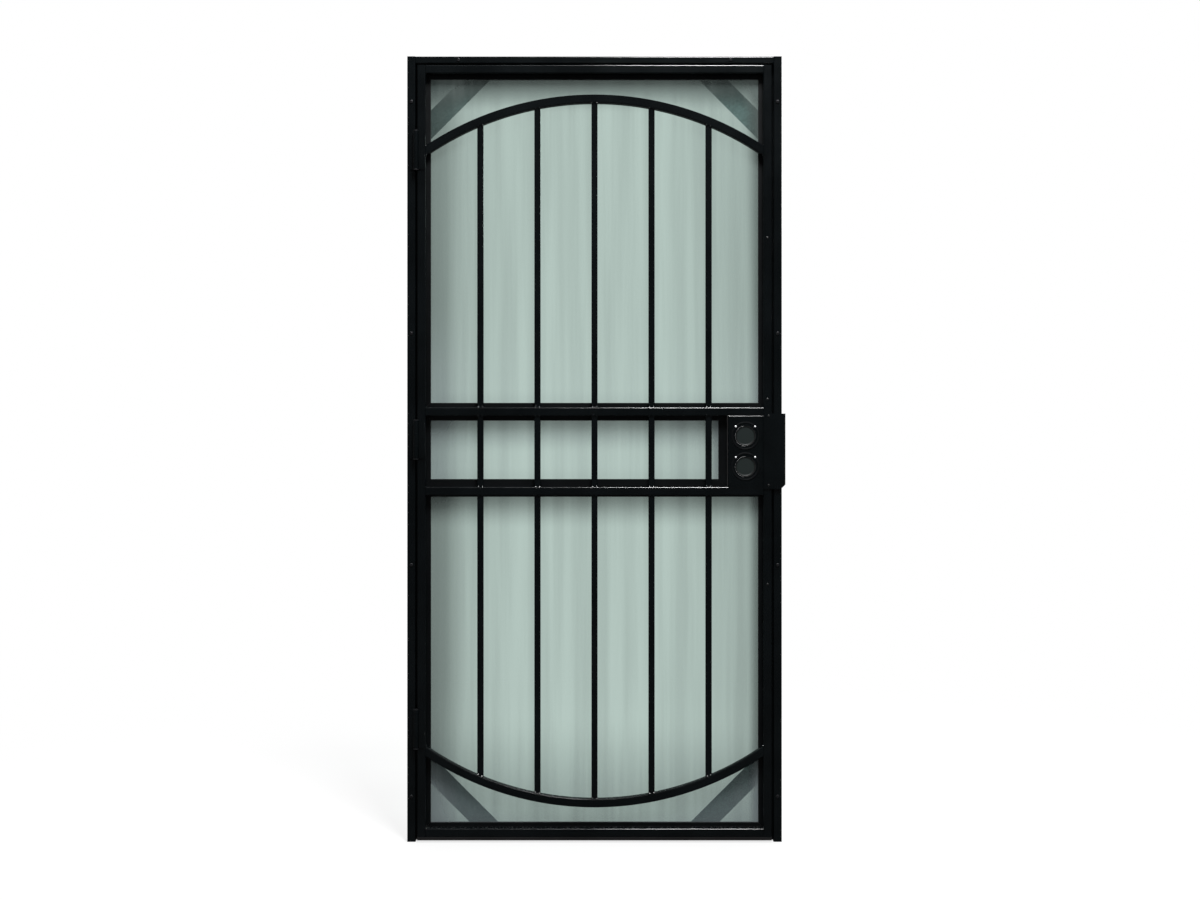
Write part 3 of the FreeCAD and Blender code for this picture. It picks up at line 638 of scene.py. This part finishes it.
def at(x, y, z, turn=None):
    """A place, with a turn made first."""
    matrix = Matrix.Translation((x, y, z))
    return matrix @ turn if turn else matrix


def lay_out(model, name, turns_and_places):
    """Copies a model to every place, joins the copies into one piece and takes the model away."""
    copies = []
    for matrix in turns_and_places:
        copy = model.copy()
        copy.data = model.data.copy()
        copy.data.transform(matrix)
        bpy.context.scene.collection.objects.link(copy)
        copies.append(copy)
    bpy.data.objects.remove(model)
    start_clean()
    for copy in copies:
        copy.select_set(True)
    bpy.context.view_layer.objects.active = copies[0]
    bpy.ops.object.join()
    piece = bpy.context.object
    piece.name = name
    piece.data.name = name
    return piece


def hand_over(piece, body, material):
    """Smooths a finished piece, gives it its finish and lets it ride on a body."""
    start_clean()
    piece.select_set(True)
    bpy.context.view_layer.objects.active = piece
    bpy.ops.object.shade_smooth_by_angle(angle=SMOOTH_ANGLE)
    piece.data.materials.clear()
    piece.data.materials.append(material)
    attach(piece, body)
    print(f"{piece.name}: {len(piece.data.polygons)} faces on {body}")


# %% [markdown]
# ## Tack welds on the grille
# Each bar is held to a rail or an arch by two tacks at its front corners. A tack is a small lump of weld
# that fills the step between the bar and the wider tube. It could be sculpted, but a sphere pressed into
# a lens and tipped already lies across that corner, and a cloudy displacement makes it uneven. All of the
# tacks are copies of that lump.

# %% Tack weld
TACK_WIDTH = 6.5 * MILLIMETRE
TACK_LENGTH = 6.0 * MILLIMETRE
TACK_THICKNESS = 3.2 * MILLIMETRE
TACK_TIP = math.radians(40)
TACK_LUMP = 0.5 * MILLIMETRE
TACK_LUMP_SIZE = 3.0 * MILLIMETRE
TACK_SEGMENTS = 16
TACK_RINGS = 10


def model_tack():
    """A lens of weld at the origin, whose face looks out and up."""
    start_clean()
    bpy.ops.mesh.primitive_uv_sphere_add(segments=TACK_SEGMENTS, ring_count=TACK_RINGS, radius=0.5)
    tack = bpy.context.object
    edit_all(tack)
    stretch(TACK_WIDTH, TACK_THICKNESS, TACK_LENGTH)
    leave_edit()
    tack.data.transform(Matrix.Rotation(-TACK_TIP, 4, "X"))
    make_uneven(tack, TACK_LUMP, TACK_LUMP_SIZE)
    return tack


print(f"a tack is {TACK_WIDTH / MILLIMETRE:.1f} mm wide")

# %% Tacks along the rails
rail_names = ("upper_mid_rail", "lower_mid_rail")
bar_boxes = [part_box(f"bar_{number}") for number in range(1, 6)]
bar_width = bar_boxes[0][1].x - bar_boxes[0][0].x
leaf_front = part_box("upper_mid_rail")[0].y
stile_edges = (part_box("upper_mid_rail")[0].x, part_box("upper_mid_rail")[1].x)
leaf_middle = sum(stile_edges) / 2
TACK_SPREAD = bar_width / 3
TACK_RISE = 1.2 * MILLIMETRE
RAIL_SET_BACK = 3.0 * MILLIMETRE
UPSIDE_DOWN = Matrix.Rotation(math.pi, 4, "Y")


def bar_tacks(x, y, z, upward, lean=0.0):
    """The two tacks at the front corners of a bar's end, along a line that leans about Y."""
    turn = Matrix.Rotation(lean, 4, "Y")
    rise = TACK_RISE if upward else -TACK_RISE
    for side in (-1, 1):
        offset = turn @ Vector((side * TACK_SPREAD, 0, rise))
        yield at(x + offset.x, y, z + offset.z, turn if upward else turn @ UPSIDE_DOWN)


rail_places = []
for bar_low, bar_high in bar_boxes:
    bar_x = (bar_low.x + bar_high.x) / 2
    for rail_name in rail_names:
        rail_low, rail_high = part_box(rail_name)
        rail_places += bar_tacks(bar_x, rail_low.y + RAIL_SET_BACK, rail_high.z, upward=True)
        rail_places += bar_tacks(bar_x, rail_low.y + RAIL_SET_BACK, rail_low.z, upward=False)
rail_tacks = lay_out(model_tack(), "rail_tack_welds", rail_places)
hand_over(rail_tacks, "leaf", weld_coat)

# %% [markdown]
# The arches are bent to one radius. It could be typed in, but it also follows from an arch's box: the
# inner edge of the tube meets the stiles at the end of the box, and at mid span it lies one tube face
# inside the crown. Tacks there lean with the curve.

# %% Tacks along the arches
ARCHES = (("top_arch", True), ("bottom_arch", False))
ARCH_FACE = 22.0 * MILLIMETRE
ARCH_SET_BACK = 2.0 * MILLIMETRE


def arch_curve(name, upward):
    """(height of the arch's inner edge at x, its lean there) as a function."""
    low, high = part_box(name)
    half_span = (high.x - low.x) / 2
    rise = high.z - low.z - ARCH_FACE
    radius = (half_span ** 2 + rise ** 2) / (2 * rise)
    crown = high.z - ARCH_FACE if upward else low.z + ARCH_FACE

    def at_x(x):
        across = x - leaf_middle
        drop = radius - math.sqrt(radius ** 2 - across ** 2)
        lean = math.asin(across / radius)
        return (crown - drop, lean) if upward else (crown + drop, -lean)

    return at_x


arch_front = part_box("top_arch")[0].y
arch_places = []
for arch_name, bends_up in ARCHES:
    curve = arch_curve(arch_name, bends_up)
    for bar_low, bar_high in bar_boxes:
        bar_x = (bar_low.x + bar_high.x) / 2
        height, lean = curve(bar_x)
        arch_places += bar_tacks(bar_x, arch_front + ARCH_SET_BACK, height, not bends_up, lean)
arch_tacks = lay_out(model_tack(), "arch_tack_welds", arch_places)
hand_over(arch_tacks, "leaf", weld_coat)

# %% [markdown]
# ## Seam welds
# Where rails and arches meet the stiles, and along the hinge plates, the welder ran a short seam. A seam
# is a row of overlapping puddles. A rod with bump would look flat from the side, so it is modelled as it
# is laid: a small disc is extruded step by step along its run, and swells and narrows with every puddle.

# %% Seam weld
PUDDLE = 3.2 * MILLIMETRE
STEPS_A_PUDDLE = 4
SEAM_RADIUS = 2.3 * MILLIMETRE
SEAM_SIDES = 10
SEAM_RIPPLE = 0.14
BLUNT_TIP = 0.03


def seam_radius(along, length):
    """The seam's radius at a point of its run: full of ripples, and rounded off at both ends."""
    ripple = 1 - SEAM_RIPPLE + SEAM_RIPPLE * abs(math.sin(math.pi * along / PUDDLE))
    end = min(along, length - along)
    tip = math.sqrt(max(1 - max(1 - end / SEAM_RADIUS, 0) ** 2, BLUNT_TIP))
    return SEAM_RADIUS * ripple * tip


def model_seam(length):
    """A seam from the origin along +Z."""
    start_clean()
    steps = round(length / PUDDLE) * STEPS_A_PUDDLE
    radii = [seam_radius(length * step / steps, length) for step in range(steps + 1)]
    bpy.ops.mesh.primitive_circle_add(vertices=SEAM_SIDES, radius=radii[0], fill_type="NGON")
    seam = bpy.context.object
    edit_all(seam)
    for step in range(1, steps + 1):
        extrude(0, 0, length / steps)
        swell = radii[step] / radii[step - 1]
        stretch(swell, swell, 1, centre=(0, 0, length * step / steps))
    face_outwards()
    leave_edit()
    return seam


print(f"a seam is {2 * SEAM_RADIUS / MILLIMETRE:.1f} mm thick")

# %% Seams in the corners
CORNER_SEAM = 16.0 * MILLIMETRE
CORNER_SINK = 0.9 * MILLIMETRE

rail_lines = [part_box(name)[edge].z for name in rail_names for edge in (0, 1)]
rail_lines += [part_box("top_rail")[0].z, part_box("bottom_rail")[1].z]
corner_places = []
for edge_x in stile_edges:
    seam_x = edge_x + (CORNER_SINK if edge_x < leaf_middle else -CORNER_SINK)
    for line in rail_lines:
        corner_places.append(at(seam_x, leaf_front + RAIL_SET_BACK, line, FACING_IN))
    for arch_name, bends_up in ARCHES:
        inner_edge, lean = arch_curve(arch_name, bends_up)(edge_x)
        outer_edge = inner_edge + (ARCH_FACE if bends_up else -ARCH_FACE) / math.cos(lean)
        for line in (inner_edge, outer_edge):
            corner_places.append(at(seam_x, arch_front + ARCH_SET_BACK, line, FACING_IN))
corner_seams = lay_out(model_seam(CORNER_SEAM), "corner_seam_welds", corner_places)
hand_over(corner_seams, "leaf", weld_coat)

# %% [markdown]
# The lock box stands on the lower mid rail, and its foot is welded there along the front and ground down.
# What the grinder leaves is a flat strip that fills the groove between two rounded edges. Without it, the
# rail's edge would catch the light under the box as well. A plane of that strip's size is tipped from the
# rail's face out to the box's, extruded back into the groove, and made a little uneven.

# %% Ground weld under the lock box
GROUND_BELOW = 4.2 * MILLIMETRE
GROUND_ABOVE = 2.2 * MILLIMETRE
GROUND_PROUD = 0.05 * MILLIMETRE
GROUND_BACK = 1.5 * MILLIMETRE
GROUND_CUTS = 30
GROUND_LUMP = 0.12 * MILLIMETRE
GROUND_LUMP_SIZE = 9.0 * MILLIMETRE

box_low, box_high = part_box("lock_box")
rail_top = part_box("lower_mid_rail")[1].z


def model_ground_weld(length):
    """A strip along X from the origin, tipped from the rail's face below to the lock box's above."""
    start_clean()
    bpy.ops.mesh.primitive_plane_add(size=1, location=(0.5, 0, 0), rotation=(math.pi / 2, 0, 0))
    strip = bpy.context.object
    bpy.ops.object.transform_apply(location=True, rotation=True, scale=False)
    edit_all(strip)
    stretch(length, 1, GROUND_BELOW + GROUND_ABOVE)
    bpy.ops.mesh.select_all(action="DESELECT")
    bpy.ops.mesh.select_mode(type="VERT")
    mesh = bmesh.from_edit_mesh(strip.data)
    for corner in mesh.verts:
        corner.select_set(corner.co.z > 0)
    bmesh.update_edit_mesh(strip.data)
    bpy.ops.transform.translate(value=(0, box_low.y - leaf_front, 0))
    bpy.ops.mesh.select_all(action="SELECT")
    bpy.ops.mesh.subdivide(number_cuts=GROUND_CUTS)
    extrude(0, GROUND_BACK, 0)
    face_outwards()
    leave_edit()
    make_uneven(strip, GROUND_LUMP, GROUND_LUMP_SIZE)
    return strip


strip_middle = rail_top + (GROUND_ABOVE - GROUND_BELOW) / 2
ground_weld = lay_out(model_ground_weld(box_high.x - box_low.x), "lock_box_ground_weld", [
    at(box_low.x, leaf_front - GROUND_PROUD, strip_middle),
])
hand_over(ground_weld, "leaf", powder_coat)

# %% [markdown]
# Each hinge plate is held by two seams along its upright edge, one near each end, with bare steel between
# them so that the heat doesn't pull the barrel out of line. The seam is the one from the corners, only
# longer.

# %% Seams along the hinge plates
HINGES = ("lower", "middle", "upper")
HINGE_SEAM = 32.0 * MILLIMETRE
HINGE_SEAM_INSET = 6.0 * MILLIMETRE


def hinge_seams(half, outer_corner, plate_back):
    """Two seams for each hinge, along the plate's edge at its low (0) or high (1) corner."""
    places = []
    for hinge in HINGES:
        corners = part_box(f"{hinge}_hinge_{half}_half")
        edge_x = corners[outer_corner].x
        foot = corners[0].z + HINGE_SEAM_INSET
        top = corners[1].z - HINGE_SEAM_INSET - HINGE_SEAM
        places += [at(edge_x, plate_back, foot), at(edge_x, plate_back, top)]
    return places


jamb_seams = lay_out(model_seam(HINGE_SEAM), "hinge_jamb_seam_welds", hinge_seams("jamb", 0, frame_front))
hand_over(jamb_seams, "frame", weld_coat)
leaf_seams = lay_out(model_seam(HINGE_SEAM), "hinge_leaf_seam_welds", hinge_seams("leaf", 1, leaf_front))
hand_over(leaf_seams, "leaf", weld_coat)

# %% [markdown]
# ## Studs round the lock bores
# Each ring is held by two plated studs on its upper half, painted near white as a painted glint. They
# are small domes. A dome could be spun from a profile, but a sphere that is cut near its middle and
# pressed flatter gets there in two steps.

# %% Ring studs
BORES = ("latch_bore", "deadbolt_bore")
STUD_RADIUS = 2.5 * MILLIMETRE
STUD_HEIGHT = 1.4 * MILLIMETRE
STUD_INSET = 2.0 * MILLIMETRE
STUD_SINK = 0.4 * MILLIMETRE
STUD_ANGLES = (45, 135)
DOME_SEGMENTS = 20
DOME_RINGS = 12
DOME_SKIRT = 0.1


def model_dome(radius, height):
    """A dome that stands out towards the camera from the plane Y = 0, with a short skirt behind it."""
    start_clean()
    bpy.ops.mesh.primitive_uv_sphere_add(
        segments=DOME_SEGMENTS, ring_count=DOME_RINGS, radius=radius, rotation=(math.pi / 2, 0, 0),
    )
    dome = bpy.context.object
    bpy.ops.object.transform_apply(location=False, rotation=True, scale=False)
    edit_all(dome)
    bpy.ops.mesh.bisect(
        plane_co=(0, DOME_SKIRT * radius, 0), plane_no=(0, 1, 0), use_fill=True, clear_outer=True,
    )
    bpy.ops.mesh.select_all(action="SELECT")
    stretch(1, height / radius, 1)
    leave_edit()
    return dome


stud_places = []
for bore in BORES:
    ring_low, ring_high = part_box(f"{bore}_ring")
    centre = (ring_low + ring_high) / 2
    reach = (ring_high.x - ring_low.x) / 2 - STUD_INSET
    for degrees in STUD_ANGLES:
        angle = math.radians(degrees)
        stud_places.append(at(
            centre.x + reach * math.cos(angle), ring_low.y + STUD_SINK, centre.z + reach * math.sin(angle),
        ))
ring_studs = lay_out(model_dome(STUD_RADIUS, STUD_HEIGHT), "ring_studs", stud_places)
hand_over(ring_studs, "leaf", glint_white_nickel)

# %% [markdown]
# ## Plugs in the bores
# No lock is fitted yet. Each bore is closed by a dark grey plug, a dark piece that stands for the shade
# seen through the bore, so it is painted shade. It is a shallow dish. A disc is extruded into the short
# skirt that grips the bore and then inset ring by ring, and each ring is pushed further in along a
# parabola. The plastic is painted black along the rim, as painted shade. A second piece could stand for
# that, but it has no thickness, so the colour follows the distance from the nearer bore instead.

# %% Plastic of the plugs
# Painted shade: the plug's dark grey and its black rim stand for the shade inside the bore.
PLUG_SHADE_GREY = colour(0.006, 0.0115, 0.011)
PLUG_RIM_SHADE = colour(0.001, 0.0015, 0.0015)
RIM_SHADE_FROM = 22.8 * MILLIMETRE
RIM_SHADE_TO = 24.6 * MILLIMETRE
GRAINS_A_METRE = 1400.0
GRAIN_STRENGTH = 0.25
GRAIN_DEPTH = 0.05 * MILLIMETRE
GRAIN_DULLS = 0.15
PLUG_ROUGHNESS = 0.42
PLUG_SHINE = 0.4


def plastic_with_rim_shade(name, centres):
    """Moulded plastic with a fine grain, painted black round the rims of two discs as painted shade."""
    material, finish = new_material(name)
    place = finish.place()
    first, second = [
        finish.node(
            "ShaderNodeVectorMath", {"operation": "DISTANCE"}, {0: place, 1: centre}, output="Value",
        )
        for centre in centres
    ]
    rim_shade = first.least(second).between(RIM_SHADE_FROM, RIM_SHADE_TO)
    grain = finish.noise(place, GRAINS_A_METRE, detail=1.0)
    finish.show(finish.principled({
        "Base Color": finish.blend(rim_shade, PLUG_SHADE_GREY, PLUG_RIM_SHADE),
        "Roughness": PLUG_ROUGHNESS + GRAIN_DULLS * grain,
        "Specular IOR Level": PLUG_SHINE,
        "Normal": finish.bump(grain, GRAIN_STRENGTH, GRAIN_DEPTH),
    }))
    return material


shade_plug_plastic = plastic_with_rim_shade("shade_plug_plastic", [mounts[bore]["pos_m"] for bore in BORES])
print("plastic:", shade_plug_plastic.name)

# %% Bore plugs
PLUG_PLAY = 0.2 * MILLIMETRE
PLUG_RIM = 2.2 * MILLIMETRE
PLUG_DISH = 8.0 * MILLIMETRE
PLUG_SKIRT = 1.6 * MILLIMETRE
PLUG_RINGS = 8
PLUG_SIDES = 48


def model_plug(radius):
    """A dished plug that lies on the plane Z = 0, open side up."""
    start_clean()
    bpy.ops.mesh.primitive_circle_add(vertices=PLUG_SIDES, radius=radius, fill_type="NGON")
    plug = bpy.context.object
    edit_all(plug)
    extrude(0, 0, PLUG_SKIRT)
    bpy.ops.mesh.inset(thickness=PLUG_RIM)
    dish_radius = radius - PLUG_RIM
    depth = 0.0
    for ring in range(1, PLUG_RINGS):
        bpy.ops.mesh.inset(thickness=dish_radius / PLUG_RINGS)
        sunk = PLUG_DISH * (1 - (1 - ring / PLUG_RINGS) ** 2)
        bpy.ops.transform.translate(value=(0, 0, depth - sunk))
        depth = sunk
    leave_edit()
    return plug


plug_places = []
for bore in BORES:
    x, y, z = mounts[bore]["pos_m"]
    plug_places.append(at(x, y + PLUG_SKIRT, z, FACING_OUT))
bore_radius = mounts["latch_bore"]["dims"]["r_mm"] * MILLIMETRE
# Painted shade: these plugs are dark pieces set where the bores show only shade.
plugs = lay_out(model_plug(bore_radius - PLUG_PLAY), "bore_shade_plugs", plug_places)
hand_over(plugs, "leaf", shade_plug_plastic)

# %% [markdown]
# ## Rivets on the lock stile and the latch guard
# Low domed rivets stand on the lock stile, and one at each end of the latch guard. They are the studs'
# dome, larger and flatter, and their coat is painted paler than the tube they stand on, as a painted sheen.

# %% Rivets
RIVET_RADIUS = 3.4 * MILLIMETRE
RIVET_HEIGHT = 1.6 * MILLIMETRE
STILE_RIVET_LEVELS = (0.681, 1.170, 1.596)
GUARD_RIVET_IN = 13.6 * MILLIMETRE
GUARD_RIVET_UP = 10.4 * MILLIMETRE
GUARD_RIVET_DOWN = 5.8 * MILLIMETRE

stile_low, stile_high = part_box("lock_stile")
guard_low, guard_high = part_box("latch_guard")
stile_x = (stile_low.x + stile_high.x) / 2
guard_x = guard_low.x + GUARD_RIVET_IN
rivet_places = [at(stile_x, stile_low.y, level) for level in STILE_RIVET_LEVELS]
for level in (guard_low.z + GUARD_RIVET_UP, guard_high.z - GUARD_RIVET_DOWN):
    rivet_places.append(at(guard_x, guard_low.y, level))
rivets = lay_out(model_dome(RIVET_RADIUS, RIVET_HEIGHT), "lock_side_rivets", rivet_places)
hand_over(rivets, "leaf", rivet_coat_with_painted_sheen)

# %% [markdown]
# ## Screws
# The frame is fixed by button head screws through its front, and the inserts and straps by plated ones
# from behind. A plain dome would pass for a rivet, so each head has its socket. A short cylinder gets its
# crown by two insets that are lifted, and its hexagon socket by a Boolean with a six sided cutter. Crown
# and socket are given as shares of the head's radius and height.

# %% Button head screw
SCREW_SIDES = 28
CROWN_INSET = 0.22
CROWN_LIFTS = (0.28, 0.14)
SOCKET_SIDES = 6
SOCKET_RADIUS = 0.48
CUTTER_LENGTH = 1.4
CUTTER_MIDDLE = 1.4
LOOKS_UP = 0.9


def model_screw(radius, height):
    """A button head that sits on the plane Z = 0, with a hexagon socket."""
    start_clean()
    bpy.ops.mesh.primitive_cylinder_add(
        vertices=SCREW_SIDES, radius=radius, depth=height, location=(0, 0, height / 2),
    )
    screw = bpy.context.object
    bpy.ops.object.transform_apply(location=True, rotation=False, scale=False)
    edit(screw)
    bpy.ops.mesh.select_mode(type="FACE")
    mesh = bmesh.from_edit_mesh(screw.data)
    for face in mesh.faces:
        face.select_set(face.normal.z > LOOKS_UP)
    bmesh.update_edit_mesh(screw.data)
    for lift in CROWN_LIFTS:
        bpy.ops.mesh.inset(thickness=radius * CROWN_INSET)
        bpy.ops.transform.translate(value=(0, 0, height * lift))
    leave_edit()
    start_clean()
    bpy.ops.mesh.primitive_cylinder_add(
        vertices=SOCKET_SIDES, radius=radius * SOCKET_RADIUS, depth=height * CUTTER_LENGTH,
        location=(0, 0, height * CUTTER_MIDDLE),
    )
    cutter = bpy.context.object
    apply_modifier(screw, "BOOLEAN", operation="DIFFERENCE", object=cutter)
    bpy.data.objects.remove(cutter)
    return screw


print(f"a screw head has {SCREW_SIDES} sides and a socket with {SOCKET_SIDES}")

# %% Screws of the frame
FRAME_SCREW_RADIUS = 4.4 * MILLIMETRE
FRAME_SCREW_HEIGHT = 2.2 * MILLIMETRE


def pattern_places(mount):
    """The holes of a bolt pattern, as (x, z) pairs."""
    x, _, z = mount["pos_m"]
    dims = mount["dims"]
    half_x = dims["spacing_x_mm"] / 2 * MILLIMETRE
    half_z = dims.get("spacing_y_mm", 0) / 2 * MILLIMETRE
    heights = (z - half_z, z + half_z) if half_z else (z,)
    return [(x + side * half_x, height) for side in (-1, 1) for height in heights]


frame_screw_places = [
    at(x, frame_front, z, FACING_OUT)
    for name in ("jamb_end_screws", "jamb_middle_screws", "head_screws")
    for x, z in pattern_places(mounts[name])
]
frame_screws = lay_out(
    model_screw(FRAME_SCREW_RADIUS, FRAME_SCREW_HEIGHT), "frame_screws", frame_screw_places,
)
hand_over(frame_screws, "frame", black_steel)

# %% [markdown]
# The back has smaller screws: along the middle line of each insert's channel, and two in each end of a
# strap. Their places could be listed, but shares of the inserts' boxes keep them even. A strap runs at 45
# degrees, so the middle of its end lies half a cut end, which is the width over the root of two, short of
# its box.

# %% Screws behind the inserts and straps
BACK_SCREW_RADIUS = 3.6 * MILLIMETRE
BACK_SCREW_HEIGHT = 1.8 * MILLIMETRE
CHANNEL_FACE = 22.0 * MILLIMETRE
STRAP_WIDTH = 54.0 * MILLIMETRE
STRAP_SCREW_INSET = CHANNEL_FACE / 3
STRAP_SCREW_SPREAD = 15.0 * MILLIMETRE
SCREW_SHARES = (0.33, 0.5, 0.67)
SHORT_SIDE_SHARES = (0.5,)
STRAPS = ("lower_hinge_side", "upper_hinge_side", "upper_lock_side", "lower_lock_side")

back_screw_places = []
for name in INSERTS:
    low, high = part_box(f"{name}_insert_frame")
    line = CHANNEL_FACE / 2
    for share in SCREW_SHARES:
        for z in (low.z + line, high.z - line):
            back_screw_places.append(at(low.x + share * (high.x - low.x), high.y, z, FACING_IN))
    side_shares = SHORT_SIDE_SHARES if name == "middle" else SCREW_SHARES
    for share in side_shares:
        for x in (low.x + line, high.x - line):
            back_screw_places.append(at(x, high.y, low.z + share * (high.z - low.z), FACING_IN))
for strap in STRAPS:
    low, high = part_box(f"{strap}_strap")
    corner_x, way_x = (low.x, 1) if "hinge" in strap else (high.x, -1)
    corner_z, way_z = (low.z, 1) if "lower" in strap else (high.z, -1)
    reach = high.x - low.x - STRAP_WIDTH / math.sqrt(2) - STRAP_SCREW_INSET
    for spread in (-STRAP_SCREW_SPREAD, STRAP_SCREW_SPREAD):
        far = reach + spread
        for along_x, along_z in ((far, STRAP_SCREW_INSET), (STRAP_SCREW_INSET, far)):
            back_screw_places.append(
                at(corner_x + way_x * along_x, high.y, corner_z + way_z * along_z, FACING_IN),
            )
back_screws = lay_out(
    model_screw(BACK_SCREW_RADIUS, BACK_SCREW_HEIGHT), "insert_and_strap_screws", back_screw_places,
)
hand_over(back_screws, "leaf", screw_zinc)

# %% [markdown]
# ## Glazing gaskets
# A soft black lip runs round each pane, front and back, in the corner between the glass and its channel.
# A profile could be swept round the pane, but its corners would need mending. A plane of the daylight's
# size, which is the pane less its bite in the channel, is inset, its middle is deleted, the strip that
# stays is given a height, and a bevel rounds its edges.

# %% Gaskets
GASKET_WIDTH = 1.2 * MILLIMETRE
GASKET_HEIGHT = 2.4 * MILLIMETRE
GASKET_ROUND = 0.5 * MILLIMETRE
GASKET_ROUND_STEPS = 3
GLASS_BITE = 7.7 * MILLIMETRE


def model_gasket(width, height):
    """A rectangular lip on the plane Z = 0, centred on the origin."""
    start_clean()
    bpy.ops.mesh.primitive_plane_add(size=1)
    gasket = bpy.context.object
    edit_all(gasket)
    stretch(width, height, 1)
    bpy.ops.mesh.inset(thickness=GASKET_WIDTH)
    bpy.ops.mesh.delete(type="FACE")
    bpy.ops.mesh.select_all(action="SELECT")
    extrude(0, 0, GASKET_HEIGHT)
    face_outwards()
    leave_edit()
    apply_modifier(
        gasket, "BEVEL", width=GASKET_ROUND, segments=GASKET_ROUND_STEPS, limit_method="ANGLE",
    )
    return gasket


for name in INSERTS:
    low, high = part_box(f"{name}_glass")
    middle = (low + high) / 2
    model = model_gasket(high.x - low.x - 2 * GLASS_BITE, high.z - low.z - 2 * GLASS_BITE)
    gasket = lay_out(model, f"{name}_glazing_gasket", [
        at(middle.x, low.y, middle.z, FACING_OUT),
        at(middle.x, high.y, middle.z, FACING_IN),
    ])
    hand_over(gasket, "leaf", vinyl)

# %% [markdown]
# ## Door seals
# A bulb of soft vinyl runs along the front of each stop, for the leaf to shut against. A profile on a
# curve would do, but the run is straight, so a cylinder of the stop's length is enough: it is cut flat
# along its axis, and a bevel eases its sharp edges.

# %% Seals
SEAL_RADIUS = 3.4 * MILLIMETRE
SEAL_SIDES = 20
SEAL_EDGE = 0.4 * MILLIMETRE
SEAL_EDGE_STEPS = 2
ALONG_X = Matrix.Rotation(math.pi / 2, 4, "Y")


def model_seal(length):
    """A bulb along +Z, flat against the plane Y = 0 and round towards the leaf."""
    start_clean()
    bpy.ops.mesh.primitive_cylinder_add(
        vertices=SEAL_SIDES, radius=SEAL_RADIUS, depth=length, location=(0, 0, length / 2),
    )
    seal = bpy.context.object
    bpy.ops.object.transform_apply(location=True, rotation=False, scale=False)
    edit_all(seal)
    bpy.ops.mesh.bisect(plane_co=(0, 0, 0), plane_no=(0, 1, 0), use_fill=True, clear_outer=True)
    leave_edit()
    apply_modifier(seal, "BEVEL", width=SEAL_EDGE, segments=SEAL_EDGE_STEPS, limit_method="ANGLE")
    return seal


for side in ("hinge", "strike", "head"):
    low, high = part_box(f"{side}_stop")
    if side == "head":
        length = high.x - low.x
        place = at(low.x, low.y, (low.z + high.z) / 2, ALONG_X)
    else:
        length = high.z - low.z
        place = at((low.x + high.x) / 2, low.y, low.z)
    seal = lay_out(model_seal(length), f"{side}_seal", [place])
    hand_over(seal, "frame", vinyl)

# %% [markdown]
# ## The view transform
# The scene uses the Standard view transform.

# %% View transform
bpy.context.scene.view_settings.view_transform = "Standard"
